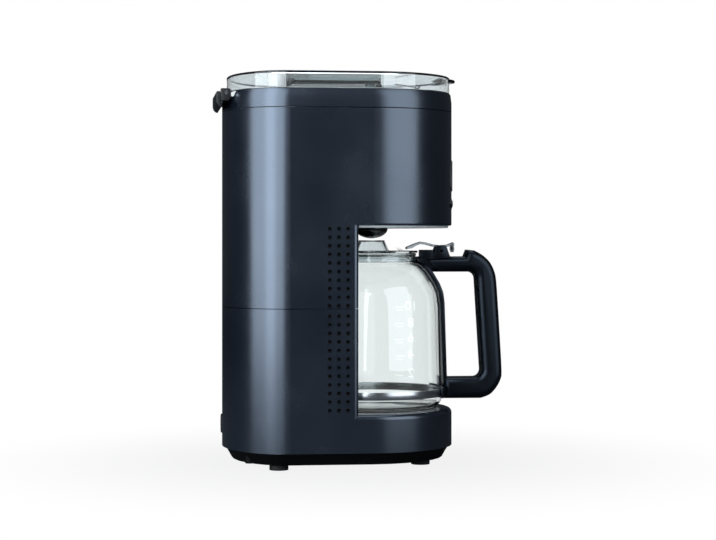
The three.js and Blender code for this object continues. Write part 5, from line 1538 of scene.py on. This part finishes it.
# %% [markdown]
# ## Water spreader and fittings in the lid
# Hot water comes up the riser tube and runs along a clear tray under the lid to a nozzle over the
# coffee. The tray has a dark seal along its lower edge. Beside it are a black knob that closes the
# tray, a grey latch, two moulded ribs behind it and a thin springy catch in front. The nozzle and the
# knob are turned, and the catch is cut from a side outline. The others are small blocks with rounded
# edges, and a tray is a block without its top face that is given a wall.

# %% Blocks and open trays
HALF_TRAY = 38 * MM
TRAY_WALL = 1.2
tray_y0, tray_y1 = JUG_Y - 4 * MM, high("water_spreader", 1)
tray_top = high("water_spreader")
tray_low = tray_top - 3.9 * MM


def lid_block(name, x0, x1, y0, y1, z0, z1, rounding, finish, *replaced, wall=0.0):
    """A block under the lid, its ends in metres, its rounding in millimetres; with a wall it is a tray."""
    bm = bmesh.new()
    centre = Matrix.Translation(((x0 + x1) / 2, (y0 + y1) / 2, (z0 + z1) / 2))
    size = Matrix.Diagonal((x1 - x0, y1 - y0, z1 - z0, 1))
    bmesh.ops.create_cube(bm, size=1, matrix=centre @ size)
    if wall:
        bmesh.ops.delete(bm, geom=[f for f in bm.faces if f.normal.z > 0.9], context="FACES_ONLY")
    round_edges(bm, [e for e in bm.edges if len(e.link_faces) == 2], rounding * MM)
    made = smooth(piece_from(bm, name), 50)
    if wall:
        thicken(made, wall * MM)
    return dress(made, finish, "lid", *replaced)


print("tray from", round(tray_y0 / MM, 1), "to", round(tray_y1 / MM, 1), "mm")

# %% Tray and nozzle
RISER_Y = middle("riser_tube", 1)
lid_block("spreader_tray", -HALF_TRAY, HALF_TRAY, tray_y0, tray_y1, tray_low, tray_top, 1, tray_clear,
          "water_spreader", wall=TRAY_WALL)
lid_block("spreader_arm", HALF_TRAY + 0.4 * MM, high("water_spreader", 0), RISER_Y - 6.4 * MM,
          RISER_Y + 6.4 * MM, tray_low, tray_top, 1, tray_clear, wall=TRAY_WALL)
nozzle_top = tray_low / MM - 0.1
nozzle_line = [(2.6, nozzle_top), (4.5, nozzle_top), (4.1, nozzle_top - 2.8), (2.4, nozzle_top - 3.4)]
spun("spreader_nozzle", nozzle_line, tray_clear, "lid", y=tray_y0 + 5.5 * MM, steps=32, closed=True,
     rounding=0.2)
print("nozzle at", round(nozzle_top, 1), "mm, riser at y", round(RISER_Y / MM, 1), "mm")

# %% Seal, knob, latch, ribs and catch
seal_z = tray_low - 0.1 * MM
for name, x0, x1, y0, y1 in (("left", -HALF_TRAY - 0.3 * MM, -HALF_TRAY + 0.7 * MM, tray_y0, tray_y1),
                             ("right", HALF_TRAY - 0.7 * MM, HALF_TRAY + 0.3 * MM, tray_y0, tray_y1),
                             ("front", -HALF_TRAY, HALF_TRAY, tray_y0 - 0.2 * MM, tray_y0 + 0.8 * MM),
                             ("rear", -HALF_TRAY, HALF_TRAY, tray_y1 - 0.8 * MM, tray_y1 + 0.2 * MM)):
    lid_block(f"tray_seal_{name}", x0, x1, y0, y1, seal_z - 1.3 * MM, seal_z - 0.1 * MM, 0.2, inner_black)
knob_y, knob_z = tray_y0 + 1.5 * MM, seal_z / MM - 1.5
knob_line = [(0, knob_z - 4.2), (2.2, knob_z - 4.2), (2.6, knob_z - 3.6), (2.6, knob_z - 0.8), (1.4, knob_z),
             (0, knob_z)]
spun("tray_knob", knob_line, gloss_black, "lid", x=-HALF_TRAY + 3 * MM, y=knob_y, steps=32, rounding=0.3)
lid_block("tray_latch", -HALF_TRAY - 2 * MM, -HALF_TRAY + 4 * MM, knob_y - 16 * MM, knob_y - 3.4 * MM,
          (knob_z - 3.6) * MM, (knob_z - 1.4) * MM, 0.3, grey_moulding)
# The ribs and the catch take the dark tint that paints the shade of their edges.
for i, y in enumerate((tray_y1 + 2.5 * MM, tray_y1 + 7 * MM)):
    lid_block(f"lid_rib_{i + 1}", -HALF_TRAY, HALF_TRAY, y, y + 1.2 * MM, LID_LOW + 2.5 * MM, tray_top, 0.3,
              lid_painted_edge_shade)
CATCH = [(-18, 0.5), (-36, -2), (-39.5, -4.4), (-41, -1.2), (-40.2, -1.0), (-39.2, -3.4), (-36, -1.2),
         (-18, 1.2)]
catch_line = [(tray_y0 + y * MM, tray_low + z * MM) for y, z in CATCH]
slab("lid_catch", catch_line, 6 * MM, 0.2 * MM, lid_painted_edge_shade, "lid", segments=2)
print("seal at", round(seal_z / MM, 1), "mm, knob at", round(knob_z, 1), "mm")

# %% [markdown]
# ## Hinge bracket and cord inlet
# Behind the ring two ears hold the steel pin, and a guard leaf hangs down behind the lid's barrel. The
# ears' tops are flat. The cord inlet is a rubber bush in the rear wall.

# %% Ears, leaf and bush
def hinge_slab(name, centre, half, points, *replaced):
    """A part of the bracket from (y, z) points in millimetres from the hinge's axis."""
    outline = [(HINGE_Y + y * MM, HINGE_Z + z * MM) for y, z in points]
    made = slab(name, outline, half * MM, 0.5 * MM, inner_black, "machine", *replaced, segments=3)
    made.data.transform(Matrix.Translation((centre * MM, 0, 0)))
    return made


leaf_out = (high("hinge_bracket", 1) - HINGE_Y) / MM
bracket_low = (low("hinge_bracket") - HINGE_Z) / MM
EAR = [(-4.3, 2.2), (-3.2, 3.6), (-2.4, 3.9), (leaf_out - 4.6, 3.9), (leaf_out - 4, 3.3),
       (leaf_out - 4, -7.4), (-2.4, -7.4), (-4.3, -4)]
hinge_slab("hinge_ear_left", -38.4, 3.6, EAR)
hinge_slab("hinge_ear_right", 38.4, 3.6, EAR)
LEAF = [(leaf_out - 3.6, 1.2), (leaf_out - 0.8, 1.2), (leaf_out, 0.4), (leaf_out, bracket_low + 5),
        (leaf_out - 1, bracket_low + 2), (leaf_out - 3.2, bracket_low + 0.2),
        (leaf_out - 4.6, bracket_low), (leaf_out - 5.2, bracket_low + 1),
        (leaf_out - 4.4, bracket_low + 3.6), (leaf_out - 3.6, bracket_low + 6)]
hinge_slab("hinge_leaf", 0, 42, LEAF, "hinge_bracket")
print("leaf out", round(leaf_out, 1), "bracket low", round(bracket_low, 1), "mm from the hinge axis")

# %% Cord bush
y0, y1 = low("cord_gland", 1), high("cord_gland", 1)
bush_line = [(3.6, y0), (7, y0), (7, y1 - 2 * MM), (9, y1 - 2 * MM), (9, y1 - 0.6 * MM), (8.2, y1),
             (5.4, y1), (3.6, y1 - 1 * MM), (3.6, y0)]
along_y("cord_bush", bush_line, middle("cord_gland", 0), middle("cord_gland"), foot_rubber, "machine",
        "cord_gland")
print("bush at", round(middle("cord_gland") / MM, 1), "mm")
